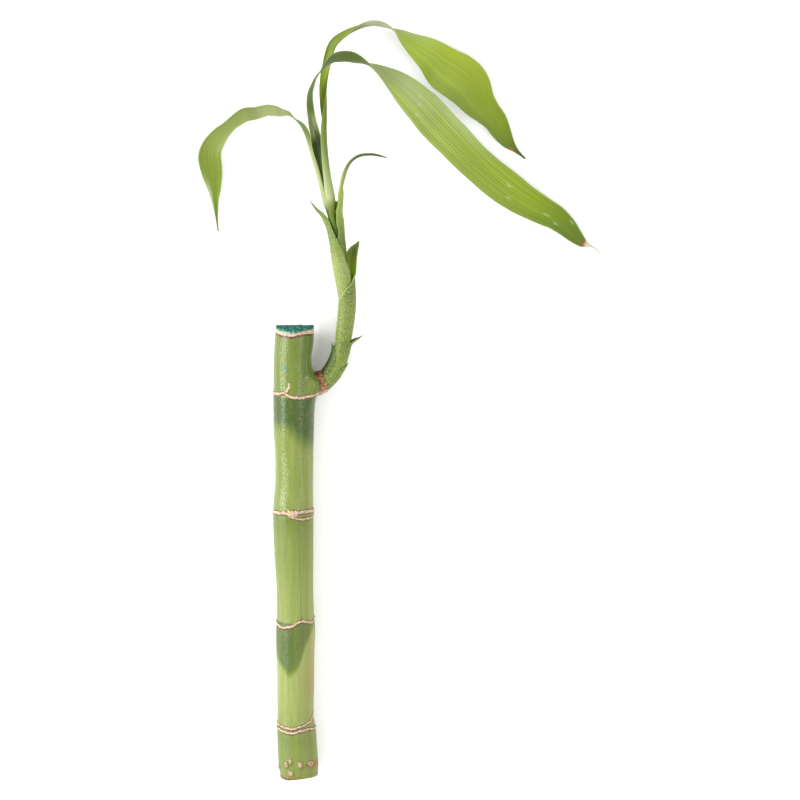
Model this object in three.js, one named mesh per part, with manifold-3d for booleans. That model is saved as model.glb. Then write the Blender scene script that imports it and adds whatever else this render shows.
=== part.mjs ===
// Lucky bamboo: a cut cane with one leafy side shoot, lying on its side. Millimetres.
// +Y runs up the cane, +X points to the side that the shoot grows from, and +Z up off the surface.
import * as THREE from "three";
import { mergeVertices } from "three/addons/utils/BufferGeometryUtils.js";
import Module from "manifold-3d";

const wasm = await Module();
wasm.setup();

// Driving dimensions
const CANE_LENGTH = 202.7;
const FOOT_LIFT = 8.75;
const HEAD_LIFT = 9.25;
const SHOOT_LIFT = 9.2;
const FIT_GAP = 0.3;

// Across, up and lift are measured looking this far down the cane from square on.
const LOOK_DOWN = THREE.MathUtils.degToRad(15);

// The cane: along, across and radius, from the cut foot to the cut head.
const CANE = [
  [0, 2.1, 8.4],
  [5, 1.75, 8.75],
  [12, 1.3, 8.7],
  [19, 0.95, 8.6],
  [27, 0.55, 8.05],
  [40, 0.6, 8.1],
  [54, 0.5, 8.3],
  [66, 0.6, 8.55],
  [75, 0.5, 8.15],
  [84, 0.3, 8.05],
  [98, -0.1, 8.5],
  [112, -0.3, 8.8],
  [119, -0.4, 8.9],
  [125, -0.3, 8.8],
  [131, 0, 8.4],
  [145, 0.1, 8.45],
  [158, -0.1, 8.9],
  [171, 0, 9.15],
  [178, -0.2, 8.75],
  [190, -0.2, 8.6],
  [198, 0.2, 8.6],
  [CANE_LENGTH, 0.45, 8.4],
];

// Leaf scars run round the cane at each node. A route goes round by degrees, with the rise along the cane
// at each; 0 is the shoot's side, 90 the upper side and 180 the far side.
const SCAR_HEIGHT = 0.55;
const SCAR_HALF_WIDTH = 0.85;
const SCARS = [
  { at: 22.1, route: [[0, -1.0], [60, -1.6], [116, -1.7], [150, -0.4], [180, 0.6], [270, 0]] },
  { at: 70.2, route: [[0, 0.7], [40, 0.4], [77, 1.4], [100, 0.2], [124, -1.9], [180, -0.6], [270, 0]] },
  { at: 119.6, route: [[0, -1.0], [30, -1.5], [62, -1.5], [85, -0.6], [107, 1.2], [180, 0], [270, -0.5]] },
  { at: 173.9, route: [[0, 0], [50, -0.3], [86, 0], [103, 0.7], [120, 1.5], [142, 1], [180, 0], [270, 0.4]] },
];

// Low bumps on the cane: along, degrees round, radius and height. They fade out over the bump's own radius.
const BUMP_FADE = 0.625;
const BUMPS = [
  [172.4, 4, 3.4, 1.7],
  [120.5, 88, 2.6, 0.7],
  [5.6, 112, 1.4, 0.7],
  [7.0, 101, 1.5, 0.8],
  [5.4, 75, 1.6, 0.8],
  [4.6, 178, 1.5, 0.7],
  [4.6, 40, 2.0, 0.8],
];

// The swelling that carries the shoot
const SWELLING = { at: 177.9, height: 2.7, along: 3.8, round: 36 };

// The head is cut square on its upper half, and slopes away below.
const HEAD_SLOPE = Math.tan(THREE.MathUtils.degToRad(26));
// The foot is cut a little askew, lower on the far side.
const FOOT_SLOPE = Math.tan(THREE.MathUtils.degToRad(4.8));
const WAX_THICKNESS = 1.8;
const WAX_RADIUS = 8.2;
const WAX_EDGE = 0.4;

// The cane's mesh: rows close together across each node, far apart between the nodes.
const FINE_ROW = 0.85;
const COARSE_ROW = 7;
const NODE_REACH = 4.6;
const CANE_COLUMNS = 30;

// The shoot's stem: across, up, lift and radius, from inside the swelling to the growing tip.
const STEM = [
  [8.2, 170.4, SHOOT_LIFT, 2.6],
  [11.6, 171.9, SHOOT_LIFT, 2.6],
  [14.7, 174.5, SHOOT_LIFT, 2.5],
  [17.55, 178.4, SHOOT_LIFT, 2.4],
  [20.15, 183.8, SHOOT_LIFT, 1.9],
  [21.15, 188.4, SHOOT_LIFT, 1.35],
  [21.6, 192.0, SHOOT_LIFT, 1.7],
  [22.6, 198.9, SHOOT_LIFT, 2.9],
  [23.05, 204.0, SHOOT_LIFT, 2.4],
  [23.25, 208.5, SHOOT_LIFT, 1.5],
  [22.7, 215.0, SHOOT_LIFT, 1.4],
  [21.3, 221.1, SHOOT_LIFT, 1.4],
  [20.1, 228.0, SHOOT_LIFT, 1.5],
  [19.5, 233.0, SHOOT_LIFT, 1.3],
  [19.3, 235.0, SHOOT_LIFT, 0.8],
];

// The dry collar round the shoot's foot
const COLLAR = [
  [7.6, 171.8, SHOOT_LIFT, 4.5],
  [10.6, 172.4, SHOOT_LIFT, 4.85],
  [12.4, 172.9, SHOOT_LIFT, 5.0],
  [14.2, 173.5, SHOOT_LIFT, 4.75],
];

const LEAF_THICKNESS = 0.62;

// Sheaths wrap the stem: up, radius to the middle of the wall, degrees wrapped, and the way that the
// middle of the wall faces, as degrees turned from straight up: 90 is away from the cane, -90 towards it.
// The last value moves the wall off the stem's line, the way that it faces.
// Blades: across, up, lift, width, degrees of curl and the way that the back of the blade faces.
const SCALE_LEFT = {
  sheath: [
    [175.6, 4.2, 130, -90, 0],
    [180.6, 4.2, 130, -90, 0],
    [184.4, 4.22, 118, -90, 0],
    [187.0, 4.3, 74, -90, 0],
    [189.6, 4.7, 12, -90, 0],
  ],
  blade: [],
};

const SCALE_RIGHT = {
  sheath: [
    [172.6, 4.22, 180, 90, 0],
    [176.4, 4.25, 180, 90, 0],
    [179.4, 4.25, 140, 90, 0],
    [181.0, 4.3, 76, 90, 0],
    [182.6, 4.45, 12, 90, 0],
  ],
  blade: [],
};

const BRACT_LOW = {
  sheath: [
    [172.9, 3.2, 320, 90, 0],
    [177.0, 3.2, 320, 90, 0],
    [182.0, 3.2, 320, 90, 0],
    [185.6, 3.3, 320, 90, 0.05],
    [187.6, 3.5, 318, 90, 0.2],
    [189.1, 3.7, 300, 90, 0.3],
    [189.5, 3.9, 240, 90, 0.4],
    [189.95, 3.95, 172, 90, 0.45],
    [190.45, 4.05, 84, 90, 0.6],
  ],
  blade: [
    [26.95, 190.7, SHOOT_LIFT, 4.2, 120, 90],
    [28.65, 191.8, SHOOT_LIFT, 2.4, 110, 90],
    [30.3, 193.2, SHOOT_LIFT, 0.8, 40, 90],
  ],
};

const BRACT_RIGHT = {
  sheath: [
    [188.4, 2.2, 322, 90, 0],
    [190.8, 2.3, 322, 90, 0],
    [192.4, 3.15, 322, 90, -0.15],
    [194.0, 3.65, 322, 90, -0.1],
    [196.0, 3.8, 322, 90, -0.1],
    [200.0, 3.9, 322, 90, -0.05],
    [205.0, 3.98, 322, 90, 0],
    [209.2, 4.02, 302, 90, 0.05],
    [211.6, 4.02, 240, 90, 0.05],
    [214.0, 4.12, 182, 92, 0.1],
    [216.2, 4.4, 92, 96, 0.15],
  ],
  blade: [
    [27.15, 219.4, 9.2, 5.8, 56, 106],
    [26.95, 223.2, 8.9, 6.7, 66, 118],
    [26.7, 227.6, 8.6, 7.2, 80, 130],
    [27.3, 230.4, 8.5, 5.9, 84, 130],
    [28.1, 232.5, 8.5, 3.4, 76, 130],
    [28.75, 234.7, 8.4, 0.8, 40, 130],
  ],
};

const BRACT_LEFT = {
  sheath: [
    [207.0, 2.65, 322, -90, 0],
    [209.2, 2.65, 322, -90, 0.1],
    [211.0, 2.75, 322, -90, 0.5],
    [212.6, 2.9, 322, -90, 0.85],
    [214.6, 3.1, 320, -90, 0.75],
    [217.5, 3.4, 316, -90, 0.4],
    [221.0, 3.6, 306, -90, 0.1],
    [226.0, 3.75, 262, -90, -0.05],
    [230.6, 3.85, 226, -90, -0.25],
    [234.6, 3.95, 182, -90, -0.25],
  ],
  blade: [
    [14.5, 239.6, 9.2, 8.2, 150, -84],
    [13.1, 243.8, 9.1, 5.8, 120, -66],
    [11.8, 246.0, 9.1, 4.5, 108, -62],
    [10.3, 247.7, 9.0, 3.3, 100, -60],
    [8.5, 250.1, 8.9, 1.6, 80, -60],
    [7.0, 252.5, 8.8, 0.7, 60, -60],
  ],
};

const LEAF_SMALL = {
  sheath: [
    [222.6, 2.5, 318, 90, 0.1],
    [226.0, 2.62, 318, 90, 0.15],
    [231.0, 2.68, 312, 90, 0.5],
    [235.0, 2.85, 302, 90, 0.4],
  ],
  blade: [
    [22.15, 239.6, 9.2, 13.5, 282, 90],
    [21.85, 243.6, 9.2, 14.0, 268, 90],
    [21.45, 246.4, 9.2, 15.3, 270, 90],
    [21.4, 248.4, 9.2, 15.2, 264, 90],
    [21.45, 250.0, 9.3, 12.9, 226, 88],
    [21.4, 251.6, 9.6, 8.4, 165, 78],
    [21.1, 253.4, 10.1, 4.9, 130, 56],
    [20.85, 255.6, 10.5, 3.2, 110, 35],
    [21.1, 258.4, 10.6, 2.3, 110, 28],
    [21.8, 261.8, 10.5, 1.9, 100, 25],
    [22.8, 265.2, 10.4, 1.5, 90, 25],
    [24.3, 268.5, 10.2, 1.2, 60, 25],
    [26.6, 271.0, 10.0, 1.0, 50, 25],
    [29.5, 272.6, 9.8, 0.9, 40, 25],
    [34.3, 273.1, 9.3, 0.9, 30, 25],
    [37.8, 272.5, 8.8, 0.8, 30, 25],
    [40.5, 271.7, 8.4, 0.6, 30, 25],
  ],
};

const LEAF_LEFT = {
  sheath: [],
  blade: [
    [17.85, 236.4, 10.0, 3.0, 96, -60],
    [17.5, 240.5, 9.9, 3.0, 96, -62],
    [15.8, 244.0, 9.4, 3.0, 96, -76],
    [14.6, 247.1, 9.4, 3.0, 98, -78],
    [13.3, 250.6, 9.8, 3.8, 120, -66],
    [12.4, 255.0, 10.0, 3.8, 150, -58],
    [10.8, 261.6, 9.8, 3.3, 165, -56],
    [8.9, 268.2, 9.7, 3.3, 165, -56],
    [7.0, 274.8, 9.6, 3.2, 160, -56],
    [5.8, 279.2, 9.5, 3.9, 150, -56],
    [4.8, 282.1, 9.5, 4.6, 140, -56],
    [2.9, 285.5, 9.3, 4.6, 100, -64],
    [0.8, 288.3, 9.1, 4.4, 40, -84],
    [-2.4, 290.2, 8.9, 4.6, 28, -104],
    [-5.6, 291.1, 8.6, 5.0, 34, -122],
    [-8.3, 292.0, 8.3, 5.2, 36, -142],
    [-11.5, 292.3, 8.0, 5.3, 36, -152],
    [-16.6, 291.3, 7.4, 5.8, 36, -160],
    [-21.2, 289.9, 6.9, 6.4, 36, -164],
    [-24.2, 288.1, 6.5, 6.1, 36, -166],
    [-27.4, 285.6, 6.1, 5.6, 36, -168],
    [-29.5, 283.7, 5.7, 6.1, 36, -169],
    [-31.9, 281.5, 5.2, 7.4, 36, -170],
    [-34.2, 278.6, 4.7, 8.7, 36, -170],
    [-36.0, 275.3, 4.2, 9.6, 36, -170],
    [-36.7, 271.5, 3.6, 10.5, 36, -170],
    [-36.2, 267.4, 3.0, 10.2, 36, -170],
    [-35.6, 263.2, 2.4, 9.0, 36, -170],
    [-34.9, 258.1, 1.8, 6.4, 40, -170],
    [-34.7, 252.4, 1.1, 3.5, 44, -170],
    [-34.0, 245.3, 0.6, 1.3, 40, -175],
    [-33.2, 238.9, 0.35, 0.6, 20, -180],
  ],
};

const LEAF_TOP = {
  sheath: [],
  blade: [
    [20.9, 236.4, 10.0, 3.2, 98, 60],
    [20.6, 240.5, 10.0, 3.2, 98, 60],
    [20.3, 244.0, 10.2, 3.4, 100, 60],
    [19.7, 247.1, 10.4, 4.2, 116, 58],
    [18.7, 250.6, 10.4, 5.0, 146, 55],
    [17.3, 255.0, 10.7, 6.8, 180, 52],
    [16.1, 261.6, 10.6, 6.9, 180, 56],
    [15.3, 268.2, 10.2, 6.4, 180, 64],
    [14.6, 274.8, 9.5, 5.8, 190, 75],
    [14.2, 281.4, 9.0, 5.2, 190, 90],
    [13.9, 288.0, 8.4, 4.6, 180, 108],
    [13.5, 294.6, 7.8, 4.5, 165, 130],
    [13.2, 301.2, 7.1, 4.5, 145, 148],
    [13.6, 305.8, 6.7, 4.5, 125, 154],
    [14.8, 311.9, 6.2, 4.5, 104, 155],
    [15.8, 316.0, 5.9, 4.7, 90, 150],
    [17.0, 319.5, 5.8, 4.9, 80, 141],
    [18.7, 322.2, 5.8, 5.2, 70, 130],
    [21.9, 324.9, 5.8, 5.6, 60, 114],
    [25.7, 327.1, 5.9, 6.1, 48, 98],
    [29.6, 328.7, 6.0, 6.6, 38, 86],
    [33.8, 330.0, 6.1, 6.9, 30, 68],
    [36.4, 330.4, 6.1, 7.2, 26, 66],
    [39.1, 330.3, 6.1, 7.5, 20, 75],
    [42.5, 329.0, 6.1, 8.2, 16, 92],
    [46.1, 326.1, 5.9, 9.6, 20, 107],
    [50.3, 322.8, 5.6, 11.7, 24, 125],
    [55.0, 319.4, 5.4, 14.2, 26, 142],
    [59.7, 316.1, 5.1, 17.1, 26, 154],
    [66.6, 310.9, 4.7, 20.3, 26, 166],
    [72.0, 307.1, 4.3, 21.2, 26, 170],
    [76.6, 302.3, 3.8, 19.9, 26, 172],
    [81.4, 295.8, 3.2, 16.0, 26, 173],
    [85.6, 291.2, 2.8, 13.0, 26, 174],
    [88.7, 287.3, 2.4, 10.6, 26, 175],
    [91.1, 282.8, 2.0, 8.8, 26, 175],
    [94.0, 278.0, 1.4, 6.2, 26, 176],
    [97.8, 274.0, 0.9, 2.8, 26, 178],
    [101.7, 270.5, 0.4, 0.7, 20, 180],
  ],
};

const LEAF_LONG = {
  sheath: [],
  blade: [
    [19.5, 236.4, 7.4, 3.0, 96, 180],
    [19.2, 240.5, 7.4, 3.0, 96, 180],
    [18.5, 244.0, 7.2, 3.2, 100, 182],
    [17.8, 247.1, 7.3, 2.8, 96, 184],
    [17.1, 250.6, 7.4, 2.8, 96, 184],
    [15.6, 257.2, 5.9, 3.6, 90, 176],
    [14.3, 263.8, 5.0, 4.2, 90, 168],
    [12.7, 270.0, 4.6, 4.8, 90, 166],
    [11.2, 275.4, 4.8, 5.4, 110, 164],
    [10.1, 280.0, 5.8, 6.0, 136, 162],
    [9.4, 284.5, 7.0, 5.8, 140, 156],
    [8.7, 288.4, 8.2, 5.2, 140, 148],
    [8.2, 292.4, 9.0, 4.9, 132, 142],
    [7.9, 296.8, 10.0, 4.6, 120, 132],
    [8.0, 299.0, 10.4, 4.3, 106, 126],
    [8.8, 302.5, 11.1, 3.8, 80, 110],
    [10.1, 306.0, 11.8, 4.0, 50, 96],
    [12.3, 309.1, 12.4, 4.4, 40, 80],
    [14.3, 311.2, 12.7, 5.2, 44, 62],
    [17.4, 313.9, 12.8, 5.9, 48, 44],
    [19.4, 314.8, 12.7, 6.4, 46, 36],
    [22.5, 315.2, 12.4, 6.8, 44, 36],
    [25.0, 315.1, 12.0, 7.0, 42, 44],
    [27.2, 314.5, 11.5, 7.2, 36, 58],
    [30.0, 313.2, 10.8, 7.4, 30, 74],
    [33.4, 311.6, 9.9, 7.8, 20, 92],
    [38.6, 308.5, 8.7, 9.3, 20, 117],
    [43.2, 305.4, 7.8, 11.3, 22, 138],
    [48.0, 301.5, 7.1, 13.4, 24, 151],
    [55.4, 294.8, 6.3, 15.6, 24, 160],
    [60.6, 289.4, 5.8, 16.6, 24, 163],
    [66.2, 283.1, 5.3, 16.4, 24, 166],
    [70.9, 278.0, 4.9, 16.1, 24, 168],
    [78.9, 269.9, 4.3, 15.4, 24, 170],
    [84.1, 265.2, 3.9, 15.4, 24, 171],
    [92.3, 258.8, 3.3, 15.7, 24, 172],
    [98.1, 254.6, 2.9, 14.8, 24, 173],
    [104.2, 250.8, 2.5, 13.5, 24, 174],
    [110.7, 247.2, 2.1, 12.0, 24, 175],
    [114.9, 245.1, 1.9, 11.0, 24, 176],
    [120.1, 240.5, 1.5, 8.9, 24, 177],
    [123.5, 236.9, 1.2, 6.8, 24, 178],
    [127.2, 233.8, 0.9, 4.0, 30, 180],
    [130.2, 232.7, 0.8, 1.1, 40, 180],
    [132.4, 231.3, 0.7, 0.7, 30, 180],
    [134.9, 228.9, 0.6, 0.6, 20, 180],
  ],
};

// The distance between the rows of a leaf's mesh
const ROW_STEP = 4.2;
const STEM_COLUMNS = 16;
const COLLAR_COLUMNS = 24;

// A measured point in the part's frame.
function place(across, up, lift) {
  const along = (up + (lift - SHOOT_LIFT) * Math.sin(LOOK_DOWN)) / Math.cos(LOOK_DOWN);
  return new THREE.Vector3(across, along, lift);
}

// The row at a knot value, on a smooth curve through all rows.
function rowAt(rows, knots, value) {
  const last = rows.length - 1;
  let i = 0;
  while (i < last - 1 && value > knots[i + 1]) i++;
  const span = knots[i + 1] - knots[i];
  const t = (value - knots[i]) / span;
  const slope = (k, column) => {
    const before = Math.max(k - 1, 0);
    const after = Math.min(k + 1, last);
    return (rows[after][column] - rows[before][column]) / (knots[after] - knots[before]);
  };
  return rows[i].map((start, column) => {
    const end = rows[i + 1][column];
    const bend = (1 - t) * slope(i, column) * span;
    const unbend = t * slope(i + 1, column) * span;
    const ease = t * t * (3 - 2 * t);
    return start + (end - start) * ease + t * (1 - t) * (bend - unbend);
  });
}

// Rows close enough together to draw, with every given row kept.
function resample(rows, knots, step) {
  const values = [];
  for (let i = 0; i + 1 < knots.length; i++) {
    const parts = Math.ceil((knots[i + 1] - knots[i]) / step);
    for (let j = 0; j < parts; j++) values.push(knots[i] + ((knots[i + 1] - knots[i]) * j) / parts);
  }
  values.push(knots.at(-1));
  return values.map((value) => rowAt(rows, knots, value));
}

// How far along its own line each row lies.
function runningLength(rows) {
  const knots = [0];
  for (let i = 1; i < rows.length; i++) {
    const here = new THREE.Vector3(...rows[i]);
    knots.push(knots[i - 1] + here.distanceTo(new THREE.Vector3(...rows[i - 1])));
  }
  return knots;
}

// A closed body from corner points and faces, turned so that its faces look outwards.
function body(points, faces) {
  const positions = points.flatMap((point) => point.toArray());
  const volume = faces.reduce((sum, [a, b, c]) => {
    return sum + points[a].dot(new THREE.Vector3().crossVectors(points[b], points[c]));
  }, 0);
  const outward = volume > 0 ? faces : faces.map(([a, b, c]) => [a, c, b]);
  return new THREE.BufferGeometry()
    .setAttribute("position", new THREE.Float32BufferAttribute(positions, 3))
    .setIndex(outward.flat());
}

// Rings of equally many points, joined side by side and closed by a fan at each end.
function loft(rings, firstCentre, lastCentre) {
  const count = rings[0].length;
  const points = [...rings.flat(), firstCentre, lastCentre];
  const faces = [];
  for (let row = 0; row + 1 < rings.length; row++) {
    for (let i = 0; i < count; i++) {
      const a = row * count + i;
      const b = row * count + ((i + 1) % count);
      faces.push([a, b, b + count], [a, b + count, a + count]);
    }
  }
  const lastRing = (rings.length - 1) * count;
  for (let i = 0; i < count; i++) {
    const next = (i + 1) % count;
    faces.push([points.length - 2, next, i]);
    faces.push([points.length - 1, lastRing + i, lastRing + next]);
  }
  return body(points, faces);
}

// The sideways and facing directions of each row, turned about the row's own line by its roll.
function framesAlong(rows, rollColumn) {
  return rows.map((row, i) => {
    const before = new THREE.Vector3(...rows[Math.max(i - 1, 0)]);
    const after = new THREE.Vector3(...rows[Math.min(i + 1, rows.length - 1)]);
    const forward = after.sub(before).normalize();
    const side = new THREE.Vector3().crossVectors(forward, new THREE.Vector3(0, 0, 1)).normalize();
    const facing = new THREE.Vector3().crossVectors(side, forward);
    const roll = THREE.MathUtils.degToRad(rollColumn === undefined ? 0 : row[rollColumn]);
    side.applyAxisAngle(forward, roll);
    facing.applyAxisAngle(forward, roll);
    return { centre: new THREE.Vector3(...row), forward, side, facing };
  });
}

// A round stem through rows of x, y, z and radius.
function stemBody(rows, columns, extra = 0) {
  const drawn = resample(rows, runningLength(rows), ROW_STEP / 2);
  const frames = framesAlong(drawn);
  const [first, last] = [frames[0], frames.at(-1)];
  first.centre.addScaledVector(first.forward, -extra);
  last.centre.addScaledVector(last.forward, extra);
  const rings = frames.map(({ centre, side, facing }, row) => {
    return Array.from({ length: columns }, (_, i) => {
      const angle = (i / columns) * 2 * Math.PI;
      const radius = drawn[row][3] + extra;
      return centre.clone().addScaledVector(side, radius * Math.cos(angle))
        .addScaledVector(facing, radius * Math.sin(angle));
    });
  });
  return loft(rings, first.centre, last.centre);
}

// A leaf or sheath: a strip with an arched section, through rows of x, y, z, width, curl and roll.
function stripBody(rows, across) {
  const drawn = resample(rows, runningLength(rows), ROW_STEP);
  const points = [];
  framesAlong(drawn, 5).forEach(({ centre, side, facing }, row) => {
    const width = drawn[row][3];
    const curl = THREE.MathUtils.degToRad(drawn[row][4]);
    const radius = width / curl;
    for (const layer of [radius + LEAF_THICKNESS / 2, radius - LEAF_THICKNESS / 2]) {
      for (let i = 0; i <= across; i++) {
        const angle = (i / across - 0.5) * curl;
        points.push(centre.clone().addScaledVector(side, layer * Math.sin(angle))
          .addScaledVector(facing, layer * Math.cos(angle) - radius));
      }
    }
  });
  const rowSize = 2 * (across + 1);
  const lastRow = points.length - rowSize;
  const quads = [];
  for (let start = 0; start < lastRow; start += rowSize) {
    const next = start + rowSize;
    const under = across + 1;
    for (let i = 0; i < across; i++) {
      quads.push([start + i, start + i + 1, next + i + 1, next + i]);
      quads.push([next + under + i, next + under + i + 1, start + under + i + 1, start + under + i]);
    }
    quads.push([start + under, start, next, next + under]);
    quads.push([start + across, start + under + across, next + under + across, next + across]);
  }
  for (let i = 0; i < across; i++) {
    quads.push([i + 1, i, across + 1 + i, across + 2 + i]);
    quads.push([lastRow + i, lastRow + i + 1, lastRow + across + 2 + i, lastRow + across + 1 + i]);
  }
  return body(points, quads.flatMap(([a, b, c, d]) => splitAlike(a, b, c, d, rowSize)));
}

// Both faces of a blade are split on the same diagonal, from the near row's lower side.
function splitAlike(a, b, c, d, rowSize) {
  const onFarRow = Math.floor(a / rowSize) > Math.floor(c / rowSize);
  return onFarRow ? [[a, b, d], [b, c, d]] : [[a, b, c], [a, c, d]];
}

const MEASURED_UP = STEM.map((row) => row[1]);

// A sheath row, as a blade row whose middle lies off the stem's line.
function onStem([up, radius, curl, roll, shift]) {
  const [across, , lift] = rowAt(STEM, MEASURED_UP, up);
  const ahead = place(...rowAt(STEM, MEASURED_UP, up + 0.5));
  const centre = place(across, up, lift);
  const forward = ahead.sub(centre).normalize();
  const side = new THREE.Vector3().crossVectors(forward, new THREE.Vector3(0, 0, 1)).normalize();
  const facing = new THREE.Vector3().crossVectors(side, forward);
  facing.applyAxisAngle(forward, THREE.MathUtils.degToRad(roll));
  const middle = centre.addScaledVector(facing, radius + shift);
  return [...middle, radius * THREE.MathUtils.degToRad(curl), curl, roll];
}

function leafRows({ sheath, blade }) {
  const placed = blade.map(([across, up, lift, ...rest]) => [...place(across, up, lift), ...rest]);
  return [...sheath.map(onStem), ...placed];
}

const CANE_KNOTS = CANE.map((row) => row[0]);

function axisLift(along) {
  return FOOT_LIFT + ((HEAD_LIFT - FOOT_LIFT) * along) / CANE_LENGTH;
}

function scarRise(route, degrees) {
  const around = [...route, [route[0][0] + 360, route[0][1]]];
  return rowAt(around, around.map((row) => row[0]), degrees)[1];
}

function turnBetween(degrees, other) {
  return Math.abs(((degrees - other + 540) % 360) - 180);
}

// The cane's radius at a place on its skin.
function skinRadius(along, degrees) {
  const base = rowAt(CANE, CANE_KNOTS, along)[2];
  const off = (along - SWELLING.at) / SWELLING.along;
  const turn = turnBetween(degrees, 0) / SWELLING.round;
  let radius = base + SWELLING.height * Math.exp(-(off ** 4) - turn ** 2);
  for (const { at, route } of SCARS) {
    const away = (along - at - scarRise(route, degrees)) / SCAR_HALF_WIDTH;
    radius += SCAR_HEIGHT * Math.exp(-away * away);
  }
  for (const [at, round, size, height] of BUMPS) {
    const sideways = THREE.MathUtils.degToRad(turnBetween(degrees, round)) * base;
    radius += height * Math.exp(-((along - at) ** 2 + sideways ** 2) / (size * BUMP_FADE) ** 2);
  }
  return radius;
}

function caneRowsAlong() {
  const rows = [0];
  while (rows.at(-1) < CANE_LENGTH) {
    const here = rows.at(-1);
    const node = SCARS.find(({ at }) => here < at + NODE_REACH);
    const untilNode = node ? node.at - NODE_REACH - here : Infinity;
    const step = untilNode <= 0.1 ? FINE_ROW : Math.min(COARSE_ROW, untilNode);
    rows.push(Math.min(here + step, CANE_LENGTH));
  }
  return rows;
}

function caneRing(along, radiusAt) {
  const [, across] = rowAt(CANE, CANE_KNOTS, along);
  return Array.from({ length: CANE_COLUMNS }, (_, i) => {
    const degrees = (i / CANE_COLUMNS) * 360;
    const angle = THREE.MathUtils.degToRad(degrees);
    const radius = radiusAt(along, degrees);
    const out = radius * Math.cos(angle);
    const rise = radius * Math.sin(angle);
    const lift = Math.max(axisLift(along) + rise, 0);
    let end = 0;
    if (along === 0) end = FOOT_SLOPE * out;
    if (along === CANE_LENGTH) end = HEAD_SLOPE * Math.min(rise, 0);
    return new THREE.Vector3(across + out, along + end, lift);
  });
}

function axisPoint(along, rowAlong = along) {
  return new THREE.Vector3(rowAt(CANE, CANE_KNOTS, rowAlong)[1], along, axisLift(rowAlong));
}

// The cane's underside is flattened where it rests on the surface.
function caneBody(extra = 0) {
  const rings = caneRowsAlong().map((along) => {
    return caneRing(along, (at, degrees) => skinRadius(at, degrees) + extra);
  });
  return loft(rings, axisPoint(0), axisPoint(CANE_LENGTH));
}

// Wax closes the cut head and takes its shape.
function waxBody() {
  const ring = (along, inset) => {
    return caneRing(CANE_LENGTH, () => WAX_RADIUS - inset)
      .map((point) => point.add(new THREE.Vector3(0, along - CANE_LENGTH, 0)));
  };
  const bottom = CANE_LENGTH + FIT_GAP;
  const top = bottom + WAX_THICKNESS;
  const rings = [
    ring(bottom, WAX_EDGE / 2),
    ring(bottom + WAX_EDGE, 0),
    ring(top - WAX_EDGE, WAX_EDGE / 8),
    ring(top, WAX_EDGE),
  ];
  return loft(rings, axisPoint(bottom, CANE_LENGTH), axisPoint(top, CANE_LENGTH));
}

function solidOf(geometry) {
  const merged = mergeVertices(geometry, 1e-4);
  const vertProperties = new Float32Array(merged.attributes.position.array);
  const triVerts = new Uint32Array(merged.index.array);
  return new wasm.Manifold(new wasm.Mesh({ numProp: 3, vertProperties, triVerts }));
}

function geometryOf(solid) {
  const { vertProperties, triVerts } = solid.getMesh();
  return new THREE.BufferGeometry()
    .setAttribute("position", new THREE.BufferAttribute(vertProperties, 3))
    .setIndex(new THREE.BufferAttribute(triVerts, 1));
}

function cutBy(geometry, ...cutters) {
  const left = cutters.reduce((solid, cutter) => solid.subtract(solidOf(cutter)), solidOf(geometry));
  return geometryOf(left);
}

function roundRows(rows) {
  return rows.map(([across, up, lift, radius]) => [...place(across, up, lift), radius]);
}

const stemRows = roundRows(STEM);
const collarRows = roundRows(COLLAR);

const plant = new THREE.Group();

function addPiece(name, geometry, color, roughness) {
  geometry.computeVertexNormals();
  const material = new THREE.MeshStandardMaterial({ color, roughness, metalness: 0, flatShading: true });
  const mesh = new THREE.Mesh(geometry, material);
  mesh.name = name;
  plant.add(mesh);
}

addPiece("cane", caneBody(), 0x9ab052, 0.5);
addPiece("wax_seal", waxBody(), 0x1f6b5f, 0.6);
const collar = stemBody(collarRows, COLLAR_COLUMNS);
const roomForStem = stemBody(stemRows, STEM_COLUMNS, FIT_GAP);
addPiece("bud_collar", cutBy(collar, caneBody(FIT_GAP), roomForStem), 0x9b6b4a, 0.85);
addPiece("shoot_stem", cutBy(stemBody(stemRows, STEM_COLUMNS), caneBody(FIT_GAP)), 0x8fa84a, 0.55);

const leaves = [
  { name: "scale_left", rows: leafRows(SCALE_LEFT), across: 8, color: 0x6f8a3a },
  { name: "scale_right", rows: leafRows(SCALE_RIGHT), across: 6, color: 0x6f8a3a },
  { name: "bract_low", rows: leafRows(BRACT_LOW), across: 15, color: 0x8faa4c },
  { name: "bract_right", rows: leafRows(BRACT_RIGHT), across: 15, color: 0x7f9a34 },
  { name: "bract_left", rows: leafRows(BRACT_LEFT), across: 15, color: 0x9db663 },
  { name: "leaf_small", rows: leafRows(LEAF_SMALL), across: 13, color: 0x8fa84a },
  { name: "leaf_left", rows: leafRows(LEAF_LEFT), across: 6, color: 0x96ad42 },
  { name: "leaf_top", rows: leafRows(LEAF_TOP), across: 6, color: 0xa3bc4c },
  { name: "leaf_long", rows: leafRows(LEAF_LONG), across: 6, color: 0x8faf3b },
];
const atCollar = ["scale_left", "scale_right", "bract_low"];
for (const { name, rows, across, color } of leaves) {
  let geometry = stripBody(rows, across);
  if (atCollar.includes(name)) {
    geometry = cutBy(geometry, stemBody(collarRows, COLLAR_COLUMNS, FIT_GAP));
  }
  addPiece(name, geometry, color, 0.5);
}

// The origin is the middle of the footprint, on the surface.
const box = new THREE.Box3().setFromObject(plant);
const middle = box.getCenter(new THREE.Vector3());
plant.position.set(-middle.x, -middle.y, 0);

export default plant;
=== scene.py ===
"""Lucky bamboo: the finished look of a cut cane and its leafy shoot, lying on a pale studio floor."""

import math

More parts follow.
